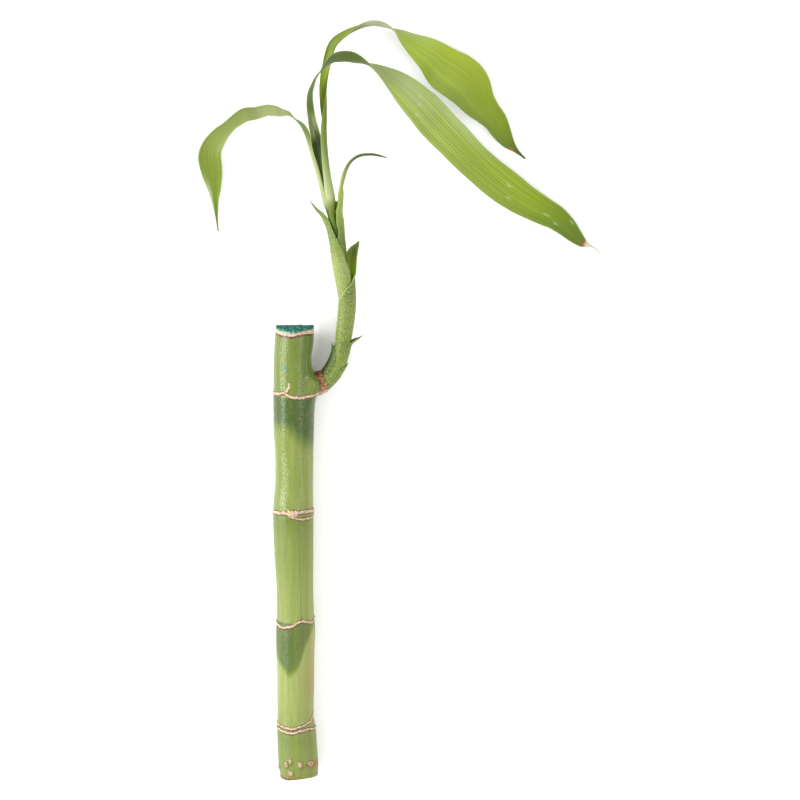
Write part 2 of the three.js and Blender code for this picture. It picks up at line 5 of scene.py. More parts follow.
import bmesh
import bpy
import numpy as np
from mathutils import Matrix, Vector


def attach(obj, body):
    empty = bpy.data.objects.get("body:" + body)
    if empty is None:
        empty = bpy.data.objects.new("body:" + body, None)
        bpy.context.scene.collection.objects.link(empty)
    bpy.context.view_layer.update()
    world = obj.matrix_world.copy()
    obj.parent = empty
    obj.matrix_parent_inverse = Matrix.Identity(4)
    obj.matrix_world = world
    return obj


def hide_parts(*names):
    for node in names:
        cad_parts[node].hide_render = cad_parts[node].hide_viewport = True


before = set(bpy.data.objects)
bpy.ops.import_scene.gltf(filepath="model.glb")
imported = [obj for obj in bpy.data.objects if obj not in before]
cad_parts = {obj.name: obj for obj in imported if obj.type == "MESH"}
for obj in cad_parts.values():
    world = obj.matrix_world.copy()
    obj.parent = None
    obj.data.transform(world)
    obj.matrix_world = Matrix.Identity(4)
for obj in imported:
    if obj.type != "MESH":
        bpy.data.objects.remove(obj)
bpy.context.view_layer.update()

bl_info = {
    "name": "Lucky Bamboo",
    "version": (1, 0, 0),
    "blender": (4, 5, 0),
    "location": "3D View > Sidebar > Lucky Bamboo",
    "description": "A cut cane of lucky bamboo with its leafy shoot, and the studio that shows it",
    "category": "Object",
}

MM = 0.001
TURN = 2 * math.pi

# All tables are in millimetres, from the cane's foot on its middle line. The frame's origin is the middle of
# the plant's footprint, which lies here.
FOOTPRINT_MIDDLE = (46.598, 171.293)
SHOOT_LIFT = 9.2
# Across, up and lift are measured looking this far down the cane from square on.
LOOK_DOWN = math.radians(15)

CANE_LENGTH = 202.7
FOOT_LIFT = 8.75
HEAD_LIFT = 9.25

# The cane: along, across and radius, from the cut foot to the cut head. The shoot's stem and its collar:
# across, up, lift and radius.
CANE = (
    (0, 2.1, 8.4), (5, 1.75, 8.75), (12, 1.3, 8.7), (19, 0.95, 8.6), (27, 0.55, 8.05), (40, 0.6, 8.1),
    (54, 0.5, 8.3), (66, 0.6, 8.55), (75, 0.5, 8.15), (84, 0.3, 8.05), (98, -0.1, 8.5), (112, -0.3, 8.8),
    (119, -0.4, 8.9), (125, -0.3, 8.8), (131, 0, 8.4), (145, 0.1, 8.45), (158, -0.1, 8.9), (171, 0, 9.15),
    (178, -0.2, 8.75), (190, -0.2, 8.6), (198, 0.2, 8.6), (202.7, 0.45, 8.4),
)
STEM = (
    (8.2, 170.4, 9.2, 2.6), (11.6, 171.9, 9.2, 2.6), (14.7, 174.5, 9.2, 2.5), (17.55, 178.4, 9.2, 2.4),
    (20.15, 183.8, 9.2, 1.9), (21.15, 188.4, 9.2, 1.35), (21.6, 192.0, 9.2, 1.7), (22.6, 198.9, 9.2, 2.9),
    (23.05, 204.0, 9.2, 2.4), (23.25, 208.5, 9.2, 1.5), (22.7, 215.0, 9.2, 1.4), (21.3, 221.1, 9.2, 1.4),
    (20.1, 228.0, 9.2, 1.5), (19.5, 233.0, 9.2, 1.3), (19.3, 235.0, 9.2, 0.8),
)
COLLAR = (
    (9.2, 171.9, 9.2, 5.3), (10.6, 172.3, 9.2, 5.25), (12.4, 173.0, 9.2, 5.0), (14.0, 173.75, 9.2, 4.6),
)
# The sheaths: up, radius, degrees wrapped, the way that the middle of the wall faces, and its shift that way.
SHEATH_ROWS = {
    "scale_left": (
        (175.6, 4.0, 150, -88, 0.18), (180.6, 4.0, 150, -88, 0.18), (184.4, 4.0, 124, -88, 0.2),
        (187.0, 4.05, 76, -90, 0.25), (189.6, 4.4, 12, -90, 0.3),
    ),
    "scale_right": (
        (172.6, 4.0, 196, 90, 0.2), (176.4, 4.02, 190, 90, 0.2), (179.4, 4.02, 142, 90, 0.2),
        (181.0, 4.08, 76, 90, 0.22), (182.6, 4.25, 12, 90, 0.2),
    ),
    "bract_low": (
        (172.9, 3.72, 320, 90, 0), (177.0, 3.76, 320, 90, 0), (182.0, 3.76, 320, 90, 0),
        (185.6, 3.74, 320, 90, -0.05), (187.6, 3.8, 318, 90, 0), (189.1, 3.86, 296, 90, 0.12),
        (189.6, 3.9, 236, 90, 0.3), (190.05, 3.95, 168, 90, 0.4), (190.45, 4.05, 84, 90, 0.6),
    ),
    "bract_right": (
        (186.4, 3.3, 322, 90, 0), (189.6, 3.42, 322, 90, 0), (192.0, 3.6, 322, 90, -0.08),
        (194.0, 3.72, 322, 90, -0.08), (196.0, 3.8, 322, 90, -0.1), (200.0, 3.9, 322, 90, -0.05),
        (205.0, 3.98, 322, 90, 0), (209.2, 4.02, 302, 90, 0.05), (211.6, 4.02, 240, 90, 0.05),
        (214.0, 4.12, 182, 92, 0.1), (216.2, 4.4, 92, 96, 0.15),
    ),
    "bract_left": (
        (205.5, 3.3, 322, -90, -0.05), (209.2, 3.4, 322, -90, 0), (211.0, 3.45, 322, -90, 0.15),
        (212.6, 3.5, 322, -90, 0.25), (214.6, 3.5, 320, -90, 0.35), (217.5, 3.55, 316, -90, 0.25),
        (221.0, 3.6, 306, -90, 0.1), (226.0, 3.75, 262, -90, -0.05), (230.6, 3.85, 226, -90, -0.25),
        (234.6, 3.95, 182, -90, -0.25),
    ),
    "leaf_small": (
        (222.6, 2.95, 318, 92, -0.3), (226.0, 3.1, 310, 94, -0.28), (231.0, 3.28, 276, 102, -0.07),
        (235.0, 3.3, 236, 110, -0.05),
    ),
}
# The blades: across, up, lift, width, degrees of curl and the way that the back of the blade faces.
BLADE_ROWS = {
    "bract_low": (
        (26.95, 190.7, 9.2, 4.2, 120, 90), (28.65, 191.8, 9.2, 2.4, 110, 90),
        (30.3, 193.2, 9.2, 0.8, 40, 90),
    ),
    "bract_right": (
        (26.2, 219.4, 7.9, 6.2, 66, 128), (25.9, 223.2, 7.4, 6.9, 76, 138),
        (26.0, 227.6, 7.6, 7.2, 80, 142), (26.9, 230.4, 7.9, 5.9, 84, 140),
        (27.9, 232.5, 8.2, 3.4, 76, 136), (28.75, 234.7, 8.4, 0.8, 40, 130),
    ),
    "bract_left": (
        (14.5, 239.6, 9.2, 8.2, 150, -84), (13.1, 243.8, 9.1, 5.8, 120, -66),
        (11.8, 246.0, 9.1, 4.5, 108, -62), (10.3, 247.7, 9.0, 3.3, 100, -60),
        (8.5, 250.1, 8.9, 1.6, 80, -60), (7.0, 252.5, 8.8, 0.7, 60, -60),
    ),
    "leaf_small": (
        (22.0, 239.6, 7.9, 11.1, 214, 113), (21.8, 243.6, 8.2, 11.9, 218, 107),
        (21.3, 246.4, 8.1, 11.8, 206, 110), (21.2, 248.4, 8.25, 11.0, 197, 107),
        (21.5, 250.0, 9.0, 9.2, 178, 94), (21.55, 251.6, 9.6, 6.6, 144, 77),
        (21.4, 253.4, 10.1, 5.2, 130, 56), (21.05, 255.6, 10.5, 3.5, 110, 35),
        (21.1, 258.4, 10.6, 2.3, 110, 28), (21.8, 261.8, 10.5, 2.4, 100, 25),
        (22.8, 265.2, 10.4, 2.1, 90, 25), (24.3, 268.3, 10.2, 1.8, 60, 25),
        (26.6, 270.7, 10.0, 1.6, 50, 25), (29.5, 272.1, 9.8, 1.6, 40, 25), (34.3, 272.5, 9.3, 1.5, 30, 25),
        (37.8, 271.9, 8.8, 1.2, 30, 25), (41.0, 271.0, 8.4, 0.6, 30, 25),
    ),
    "leaf_left": (
        (18.14, 236.4, 10.24, 4.45, 150, -48), (16.7, 240.5, 10.27, 4.58, 150, -48),
        (15.83, 244.0, 10.15, 4.69, 150, -50), (14.92, 247.1, 10.12, 4.59, 150, -52),
        (13.6, 250.6, 10.27, 4.93, 156, -48), (12.4, 255.0, 10.0, 4.2, 165, -54),
        (10.8, 261.6, 9.8, 3.3, 165, -56), (8.9, 268.2, 9.7, 3.3, 165, -56),
        (7.0, 274.8, 9.6, 3.2, 160, -56), (5.8, 279.2, 9.5, 3.9, 150, -56),
        (4.8, 282.1, 9.5, 4.6, 140, -56), (2.9, 285.5, 9.3, 4.6, 100, -64), (0.3, 288.1, 9.1, 4.6, 40, -82),
        (-2.4, 290.2, 8.9, 4.6, 28, -104), (-5.6, 290.6, 8.6, 5.0, 34, -122),
        (-8.3, 291.4, 8.3, 5.2, 36, -142), (-11.5, 291.7, 8.0, 5.3, 36, -152),
        (-16.6, 290.5, 7.4, 5.7, 36, -160), (-21.2, 289.9, 6.9, 6.4, 36, -164),
        (-24.2, 288.1, 6.5, 6.1, 36, -166), (-27.4, 285.6, 6.1, 5.6, 36, -168),
        (-29.5, 283.7, 5.7, 6.1, 36, -169), (-31.9, 281.5, 5.2, 7.4, 36, -170),
        (-34.2, 278.6, 4.7, 8.7, 36, -170), (-36.0, 275.3, 4.2, 9.6, 36, -170),
        (-36.7, 271.5, 3.6, 10.5, 36, -170), (-36.2, 267.4, 3.0, 10.2, 36, -170),
        (-35.6, 263.2, 2.4, 9.0, 36, -170), (-34.9, 258.1, 1.8, 6.4, 40, -170),
        (-34.7, 252.4, 1.1, 3.5, 44, -170), (-34.0, 245.3, 0.6, 1.3, 40, -175),
        (-33.2, 238.9, 0.35, 0.6, 20, -180),
    ),
    "leaf_top": (
        (19.83, 236.4, 10.67, 5.9, 198, 19), (18.87, 240.5, 10.76, 6.1, 198, 19),
        (18.3, 244.0, 10.85, 5.8, 182, 29), (17.9, 247.1, 10.9, 5.8, 172, 36),
        (17.54, 250.6, 10.95, 6.5, 188, 34), (17.02, 255.0, 11.0, 7.6, 202, 41),
        (16.1, 261.6, 10.6, 6.9, 180, 56), (15.3, 268.2, 10.2, 6.4, 180, 64),
        (14.65, 274.8, 9.5, 6.1, 204, 64), (14.3, 281.4, 9.2, 6.0, 216, 68),
        (14.4, 288.0, 8.5, 6.0, 222, 94), (14.1, 294.6, 7.7, 5.8, 210, 126),
        (13.6, 301.2, 7.1, 5.0, 160, 148), (13.8, 305.8, 6.7, 4.6, 130, 154),
        (14.8, 311.9, 6.2, 4.5, 104, 155), (15.8, 316.0, 5.9, 4.7, 90, 150),
        (17.0, 319.5, 5.8, 4.9, 80, 141), (18.7, 321.9, 5.8, 5.2, 70, 130),
        (21.9, 324.1, 5.8, 5.6, 70, 114), (25.7, 326.1, 5.9, 6.1, 90, 95), (29.6, 327.7, 6.0, 6.6, 130, 76),
        (33.8, 328.8, 6.1, 6.9, 110, 62), (36.4, 329.0, 6.1, 7.2, 70, 58), (39.3, 328.7, 6.1, 7.4, 36, 59),
        (42.8, 327.4, 6.1, 7.8, 20, 74), (46.7, 324.5, 5.9, 8.8, 20, 108),
        (51.0, 321.3, 5.6, 11.1, 24, 128), (55.7, 318.3, 5.4, 13.6, 26, 143),
        (60.2, 315.3, 5.1, 16.1, 26, 154), (66.6, 309.9, 4.7, 19.8, 26, 166),
        (72.0, 306.5, 4.3, 20.9, 26, 170), (76.6, 302.3, 3.8, 19.9, 26, 172),
        (81.1, 295.5, 3.2, 15.3, 26, 173), (85.15, 290.8, 2.8, 11.9, 26, 174),
        (88.4, 287.3, 2.4, 10.4, 26, 175), (91.1, 282.8, 2.0, 8.8, 26, 175),
        (94.0, 278.0, 1.4, 5.8, 26, 176), (97.8, 274.0, 0.9, 2.0, 26, 178),
        (101.7, 270.5, 0.4, 0.7, 20, 180),
    ),
    "leaf_long": (
        (19.5, 236.4, 7.4, 3.0, 96, 180), (19.2, 240.5, 7.4, 3.0, 96, 180),
        (18.5, 244.0, 7.2, 3.2, 100, 182), (17.8, 247.1, 7.3, 2.8, 96, 184),
        (17.1, 250.6, 7.4, 2.8, 96, 184), (14.8, 257.2, 5.9, 4.2, 90, 176),
        (13.4, 263.8, 5.0, 4.9, 90, 168), (11.94, 270.0, 4.6, 5.4, 70, 166),
        (10.62, 275.4, 4.8, 5.4, 60, 164), (9.81, 280.0, 5.8, 4.9, 60, 162),
        (9.01, 284.5, 7.0, 4.7, 60, 156), (8.27, 288.4, 8.2, 4.2, 60, 148),
        (7.78, 292.4, 9.0, 4.2, 60, 142), (7.53, 296.8, 10.0, 4.2, 60, 132),
        (7.72, 299.0, 10.4, 4.1, 60, 126), (8.8, 302.5, 11.1, 3.8, 80, 110),
        (10.1, 306.0, 11.8, 4.0, 50, 96), (12.3, 309.1, 12.4, 4.4, 40, 80),
        (14.3, 311.2, 12.7, 5.2, 44, 62), (17.4, 313.7, 12.8, 6.3, 48, 42),
        (19.4, 314.5, 12.7, 6.9, 46, 34), (22.5, 314.8, 12.4, 7.4, 44, 34),
        (25.2, 314.4, 12.0, 7.6, 42, 36), (27.8, 313.5, 11.5, 7.6, 38, 44),
        (31.0, 312.3, 10.8, 7.4, 30, 64), (34.6, 310.5, 9.9, 7.8, 20, 92), (39.5, 307.6, 8.7, 9.3, 20, 118),
        (44.0, 304.5, 7.8, 11.3, 22, 138), (48.7, 300.7, 7.1, 13.4, 24, 151),
        (55.8, 294.0, 6.3, 15.6, 24, 160), (60.6, 288.6, 5.8, 16.6, 24, 163),
        (66.2, 282.6, 5.3, 16.4, 24, 166), (70.9, 278.0, 4.9, 16.1, 24, 168),
        (78.9, 269.9, 4.3, 15.4, 24, 170), (84.1, 265.2, 3.9, 15.4, 24, 171),
        (92.3, 258.8, 3.3, 15.7, 24, 172), (98.1, 254.6, 2.9, 14.8, 24, 173),
        (104.2, 250.8, 2.5, 13.5, 24, 174), (110.7, 247.2, 2.1, 12.0, 24, 175),
        (114.9, 245.1, 1.9, 11.0, 24, 176), (120.1, 240.5, 1.5, 8.9, 24, 177),
        (123.5, 236.9, 1.2, 6.8, 24, 178), (127.2, 233.8, 0.9, 4.0, 30, 180),
        (130.2, 232.7, 0.8, 1.0, 40, 180), (132.4, 231.3, 0.7, 0.5, 30, 180),
        (134.9, 228.9, 0.6, 0.4, 20, 180),
    ),
}
# Places round the cane are measured on its skin at this mean radius.
MEAN_RADIUS = 8.6
ARC_PER_DEGREE = math.radians(1) * MEAN_RADIUS
# Leaf scars and their branches on the cane's skin: height, half width, then degrees round and height up the
# cane at each corner. 90 degrees is the upper side and 0 the shoot's side.
SCARS = (
    (0.42, 0.58, (
        (-90, 174.3), (-45, 174.2), (-20, 175.2), (0, 176.1), (20, 175.3), (38, 174.5), (51, 173.9),
        (69, 173.8), (86, 173.9), (102, 174.7), (119, 175.6), (141, 175.0), (177, 174.1), (225, 173.9),
        (270, 174.3),
    )),
    (0.3, 0.42, ((119, 175.8), (112, 176.2), (107, 177.2), (103, 178.6), (102, 180.2))),
    (0.45, 0.66, (
        (-90, 119.3), (-40, 119.9), (0, 120.8), (28, 121.2), (59, 121.6), (88, 121.3), (102, 121.0),
        (128, 120.9), (165, 120.2), (180, 119.6), (225, 119.2), (270, 119.3),
    )),
    (0.5, 1.5, ((96, 121.0), (86, 120.9))),
    (0.34, 0.42, ((101, 120.2), (82, 118.8), (62, 118.2), (28, 118.3), (0, 118.8), (-30, 119.8))),
    (0.45, 0.5, (
        (-90, 70.2), (-40, 70.7), (0, 71.6), (14, 71.3), (34, 70.3), (58, 71.1), (76, 71.5), (99, 69.6),
        (123, 68.3), (143, 68.6), (180, 69.5), (225, 70.0), (270, 70.2),
    )),
    (0.4, 0.44, (
        (-90, 21.7), (-30, 21.4), (12, 21.3), (52, 21.7), (78, 21.2), (114, 20.1), (139, 20.9), (180, 21.1),
        (225, 21.6), (270, 21.8),
    )),
    (0.4, 0.44, (
        (225, 22.9), (180, 23.1), (139, 22.9), (114, 22.1), (91, 22.6), (60, 23.9), (35, 25.4), (14, 28.4),
    )),
)

# Dried buds and root nubs: degrees, along, half width, half length, height.
NUBS = (
    (126, 5.6, 0.85, 1.45, 0.7),
    (112, 7.3, 0.8, 1.35, 0.7),
    (84, 5.9, 0.9, 1.5, 0.8),
    (166, 3.5, 0.8, 1.3, 0.6),
    (115, 1.6, 1.4, 0.95, 0.5),
    (53, 6.2, 1.6, 1.2, 0.8),
    (300, 5.2, 0.8, 1.2, 0.7),
    (230, 7.6, 0.7, 1.2, 0.7),
    (265, 120.4, 1.3, 1.1, 0.6),
)
# Soft spots on the skin: degrees, along, half width, half length and strength. Warm ones are dry brown
# stains, the yellow one is a yellowed stretch, the teal one is a smear of wax, and the dark one is a spot of
# painted shade just above the third ring.
SPOTS = {
    "warm": (
        (75, 164.1, 0.8, 0.65, 0.5), (51, 165.9, 0.75, 0.65, 0.5), (48, 180.2, 0.45, 0.4, 0.5),
        (104, 0.2, 3.2, 0.5, 0.5), (30, 5.6, 4.2, 1.7, 1.0), (74, 4.9, 1.2, 0.45, 0.6),
        (24, 24.5, 1.1, 2.6, 0.55), (100, -0.4, 6.5, 0.45, 0.5), (38, 0.9, 3.4, 0.8, 0.4),
    ),
    "yellow": ((20, 45, 45 * ARC_PER_DEGREE, 20, 0.75),),
    "teal": ((113, 186.8, math.sqrt(1.7), math.sqrt(1.7), 0.8),),
    "dark": ((70, 72.6, 0.45, 1.3, 0.6),),
}

# The green swelling that carries the shoot, and the shallow hollow above it, where the shoot lies close
SWELLING = {"at": 179.1, "height": 3.85, "above": 3.5, "below": 6.0, "middle": 9, "round": 38}
HOLLOW = {"at": 189, "depth": 0.75, "half_length": 5.5, "round": 32}
# The foot's rim is drawn down past the cut, most of all at these degrees.
FOOT_LIP = {"depth": 0.8, "deeper": 0.5, "at": 128, "round": 24, "height": 4}
# Painted shade: a fine dark line, the shade of a crease, runs up the rind from the third ring to the second.
CREASE_SHADE = {"at": 72, "half_width": 0.3, "darkness": 0.12, "start": 66, "full": 74, "end": 119.5}
# Painted shade: the rind is painted a little darker on its shoot side above the top ring and on its left side
# below that ring. Each band: how much, then from none to full over degrees, twice, and over heights.
PAINTED_SHADE_BANDS = (
    (0.14, (78, 50), (-60, -20), (176, 184)),
    (0.11, (92, 112), (215, 180), (172, 160)),
)
# From here up, the rind's rings rise to where the wax begins.
RISE_START = 200.0
# The wax cap's radius and thickness
WAX_RADIUS = 8.36
WAX_THICKNESS = 2.1
# The head slopes away below its middle, and the foot is cut a little askew.
HEAD_SLOPE = math.tan(math.radians(26))
FOOT_SLOPE = math.tan(math.radians(4.8))

# How green the rind is, from 0 pale to 1 dark, by height up the cane.
GREENNESS = (
    (0, 0.36), (12, 0.38), (17, 0.46), (21, 0.42), (24, 0.22), (32, 0.1), (46, 0.05), (66, 0.08), (70, 0.2),
    (84, 0.22), (98, 0.3), (108, 0.38), (114, 0.48), (118.5, 0.58), (121, 0.32), (128, 0.28), (142, 0.3),
    (158, 0.28), (172, 0.36), (175, 0.6), (184, 0.56), (192, 0.6), (201, 0.64),
)
# Dark green below a node: node height, darkness, softness, then degrees and where the dark ends.
DARK_BELOW = (
    (173.9, 1.0, 10.0, (
        (-90, 152), (0, 146), (45, 147), (80, 151), (110, 155), (150, 156), (180, 155), (270, 152),
    )),
    (70.6, 0.78, 5.4, (
        (-90, 60), (0, 66), (38, 64), (58, 58), (75, 50.5), (98, 44.5), (112, 44), (128, 47), (150, 50),
        (176, 54), (200, 58), (270, 60),
    )),
)


def srgb(code):
    """A #rrggbb colour as linear values."""
    parts = [int(code[i:i + 2], 16) / 255 for i in (1, 3, 5)]
    return tuple(c / 12.92 if c <= 0.04045 else ((c + 0.055) / 1.055) ** 2.4 for c in parts)


def add(tree, kind, inputs=None, stops=None, **settings):
    """One node with its settings, its ramp's stops, and its inputs linked or set, by name or number. A text
    value is a colour's hex code."""
    node = tree.nodes.new("ShaderNode" + kind)
    for key, value in settings.items():
        setattr(node, key, value)
    if stops:
        ramp = node.color_ramp.elements
        while len(ramp) < len(stops):
            ramp.new(1.0)
        for element, (at, colour) in zip(ramp, sorted(stops)):
            element.position = at
            element.color = (*srgb(colour), 1) if isinstance(colour, str) else (*[colour] * 3, 1)
    for key, value in (inputs or {}).items():
        if isinstance(value, bpy.types.NodeSocket):
            tree.links.new(value, node.inputs[key])
        else:
            node.inputs[key].default_value = (*srgb(value), 1) if isinstance(value, str) else value
    return node


def new_material(name):
    """A material with an empty node tree, and the tree."""
    material = bpy.data.materials.new(name)
    material.use_nodes = True
    material.node_tree.nodes.clear()
    return material, material.node_tree


def smooth_rows(knots, rows, values):
    """Rows at the given values, on a smooth curve through all rows."""
    slopes = np.empty_like(rows)
    slopes[1:-1] = (rows[2:] - rows[:-2]) / (knots[2:] - knots[:-2])[:, None]
    slopes[0] = (rows[1] - rows[0]) / (knots[1] - knots[0])
    slopes[-1] = (rows[-1] - rows[-2]) / (knots[-1] - knots[-2])
    i = np.clip(np.searchsorted(knots, values, side="right") - 1, 0, len(knots) - 2)
    span = (knots[i + 1] - knots[i])[:, None]
    t = (values - knots[i])[:, None] / span
    ease = t * t * (3 - 2 * t)
    bend = (1 - t) * slopes[i] * span - t * slopes[i + 1] * span
    return rows[i] + (rows[i + 1] - rows[i]) * ease + t * (1 - t) * bend


def place(across, up, lift):
    """A measured point, in millimetres from the cane's foot."""
    along = (up + (lift - SHOOT_LIFT) * math.sin(LOOK_DOWN)) / math.cos(LOOK_DOWN)
    return np.array((across, along, lift))


def grain(u, v, seed, short, long, waves=14):
    """Smooth uneven waves between two wavelengths, about -1 to 1."""
    draw = np.random.default_rng(seed)
    total = np.zeros(np.broadcast(u, v).shape)
    for _ in range(waves):
        length = math.exp(draw.uniform(math.log(short), math.log(long)))
        heading, phase = draw.uniform(0, TURN, 2)
        total += np.cos(TURN * (u * math.cos(heading) + v * math.sin(heading)) / length + phase)
    return total / math.sqrt(waves * 2)


def ease_between(low, high, values):
    """0 below low and 1 above high, eased."""
    t = np.clip((values - low) / (high - low), 0, 1)
    return t * t * (3 - 2 * t)


def shaped_tube(name, columns, rows, points, fans=False, **attributes):
    """A cylinder cut into rows, with each corner moved to its place in points[row, column], in millimetres.
    Each attribute holds a value for each row and column."""
    bpy.ops.object.select_all(action="DESELECT")
    bpy.ops.mesh.primitive_cylinder_add(
        vertices=columns, radius=1, depth=2, end_fill_type="TRIFAN" if fans else "NGON"
    )
    obj = bpy.context.object
    obj.name = obj.data.name = name
    bpy.ops.object.mode_set(mode="EDIT")
    bpy.ops.mesh.select_mode(type="EDGE")
    # One subdivide makes 100 cuts at most, so a long piece is cut twice.
    first = math.ceil((rows - 1) / 100)
    for parts in (first, (rows - 1) // first):
        bpy.ops.mesh.select_all(action="DESELECT")
        shell = bmesh.from_edit_mesh(obj.data)
        for edge in shell.edges:
            edge.select = abs(edge.verts[0].co.z - edge.verts[1].co.z) > 0.001
        bmesh.update_edit_mesh(obj.data)
        if parts > 1:
            bpy.ops.mesh.subdivide(number_cuts=parts - 1)
    bpy.ops.object.mode_set(mode="OBJECT")
    corners = np.empty(len(obj.data.vertices) * 3, np.float32)
    obj.data.vertices.foreach_get("co", corners)
    x, y, z = corners.reshape(-1, 3).T
    row = np.rint((z + 1) / 2 * (rows - 1)).astype(int)
    column = np.rint((np.arctan2(y, x) / TURN - 0.25) * columns).astype(int) % columns
    middle = np.hypot(x, y) < 0.5
    placed = points[row, column]
    placed[middle] = points[row[middle]].mean(axis=1)
    shift = np.array((*FOOTPRINT_MIDDLE, 0))
    obj.data.vertices.foreach_set("co", ((placed - shift) * MM).astype(np.float32).ravel())
    for key, values in attributes.items():
        values = np.asarray(values, np.float32)
        kind = "FLOAT_VECTOR" if values.ndim == 3 else "FLOAT"
        data = obj.data.attributes.new(key, kind, "POINT").data
        data.foreach_set("vector" if values.ndim == 3 else "value", values[row, column].ravel())
    bpy.ops.object.mode_set(mode="EDIT")
    bpy.ops.mesh.select_all(action="SELECT")
    bpy.ops.mesh.normals_make_consistent(inside=False)
    bpy.ops.object.mode_set(mode="OBJECT")
    bpy.ops.object.shade_smooth_by_angle(angle=math.radians(50))
    return obj


def declare(obj, material, slot, *nodes):
    """The piece rides on the plant, takes this material and stands for these nodes, which are hidden. The
    slot is not used.
    """
    obj.data.materials.append(material)
    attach(obj, "root")
    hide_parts(*nodes)


def cane_axis(along):
    """The cane's middle line and radius at each height."""
    table = np.array(CANE, float)
    across, radius = smooth_rows(table[:, 0], table[:, 1:], along).T
    return across, FOOT_LIFT + (HEAD_LIFT - FOOT_LIFT) * along / CANE_LENGTH, radius


def off_route(arc, along, route):
    """How far each place on the skin is from a route of degrees and heights."""
    nearest = np.full(np.broadcast(arc, along).shape, np.inf)
    corners = [(degrees * ARC_PER_DEGREE, height) for degrees, height in route]
    for (u0, v0), (u1, v1) in zip(corners, corners[1:]):
        du, dv = u1 - u0, v1 - v0
        t = np.clip(((arc - u0) * du + (along - v0) * dv) / (du * du + dv * dv), 0, 1)
        nearest = np.minimum(nearest, np.hypot(arc - u0 - t * du, along - v0 - t * dv))
    return nearest


def smooth_route(route):
    """A route's corners with three more between each two, on a smooth curve."""
    corners = np.array(route, float)
    steps = np.arange(len(corners), dtype=float)
    return smooth_rows(steps, corners, np.linspace(0, steps[-1], 4 * len(corners) - 3))


def cane_heights():
    """Where the cane is cut into rings: close together at its nodes and ends."""
    spans = ((0, 10), (18, 30), (66, 75), (115.5, 125), (170, 184), (199.5, CANE_LENGTH))
    heights = [np.arange(0, CANE_LENGTH, 1.6), np.arange(42, 67, 0.6), np.arange(162, 168, 0.4)]
    heights += [np.arange(low, high, 0.26) for low, high in spans]
    heights = np.unique(np.round(np.concatenate([*heights, [CANE_LENGTH]]), 2))
    return heights[np.concatenate([[True], np.diff(heights) > 0.12])]


class PlantSizes(bpy.types.PropertyGroup):
    """Sizes and colours of the plant that a maker would change."""

    leaf_thickness: bpy.props.FloatProperty(
        name="Leaf thickness", description="Thickness of a blade at its middle",
        default=0.42 * MM, min=0.2 * MM, max=0.62 * MM, unit="LENGTH",
    )
    wax_edge: bpy.props.FloatProperty(
        name="Wax edge", description="How far the rim of the wax is rounded",
        default=0.5 * MM, min=0.1 * MM, max=0.9 * MM, unit="LENGTH",
    )
    pale_rind: bpy.props.FloatVectorProperty(
        name="Pale rind", description="The palest green of the cane",
        default=srgb("#8a9150"), size=3, subtype="COLOR", min=0, max=1,
    )
    dark_rind: bpy.props.FloatVectorProperty(
        name="Dark rind", description="The darkest green of the cane",
        default=srgb("#334806"), size=3, subtype="COLOR", min=0, max=1,
    )
    scar_cream: bpy.props.FloatVectorProperty(
        name="Scar cream", description="The dried skin of the leaf scars",
        default=srgb("#b89f80"), size=3, subtype="COLOR", min=0, max=1,
    )
    wax_teal: bpy.props.FloatVectorProperty(
        name="Wax", description="The sealing wax on the cut head",
        default=srgb("#114a40"), size=3, subtype="COLOR", min=0, max=1,
    )


class StudioSettings(bpy.types.PropertyGroup):
    """The studio's light and camera."""

    key_watts: bpy.props.FloatProperty(
        name="Key light", description="Power of the long strip light at the left",
        default=27, min=0, unit="POWER",
    )
    fill_watts: bpy.props.FloatProperty(
        name="Fill light", description="Power of the long strip light at the right",
        default=9.5, min=0, unit="POWER",
    )
    room_light: bpy.props.FloatProperty(
        name="Room light", description="Strength of the even light all round", default=1.02, min=0, max=4,
    )
    floor_colour: bpy.props.FloatVectorProperty(
        name="Floor", description="Colour of the studio floor", default=srgb("#f8f8f7"), size=3,
        subtype="COLOR", min=0, max=1,
    )
    camera_distance: bpy.props.FloatProperty(
        name="Camera distance", description="From the camera to the plant", default=9.5, min=1, unit="LENGTH",
    )


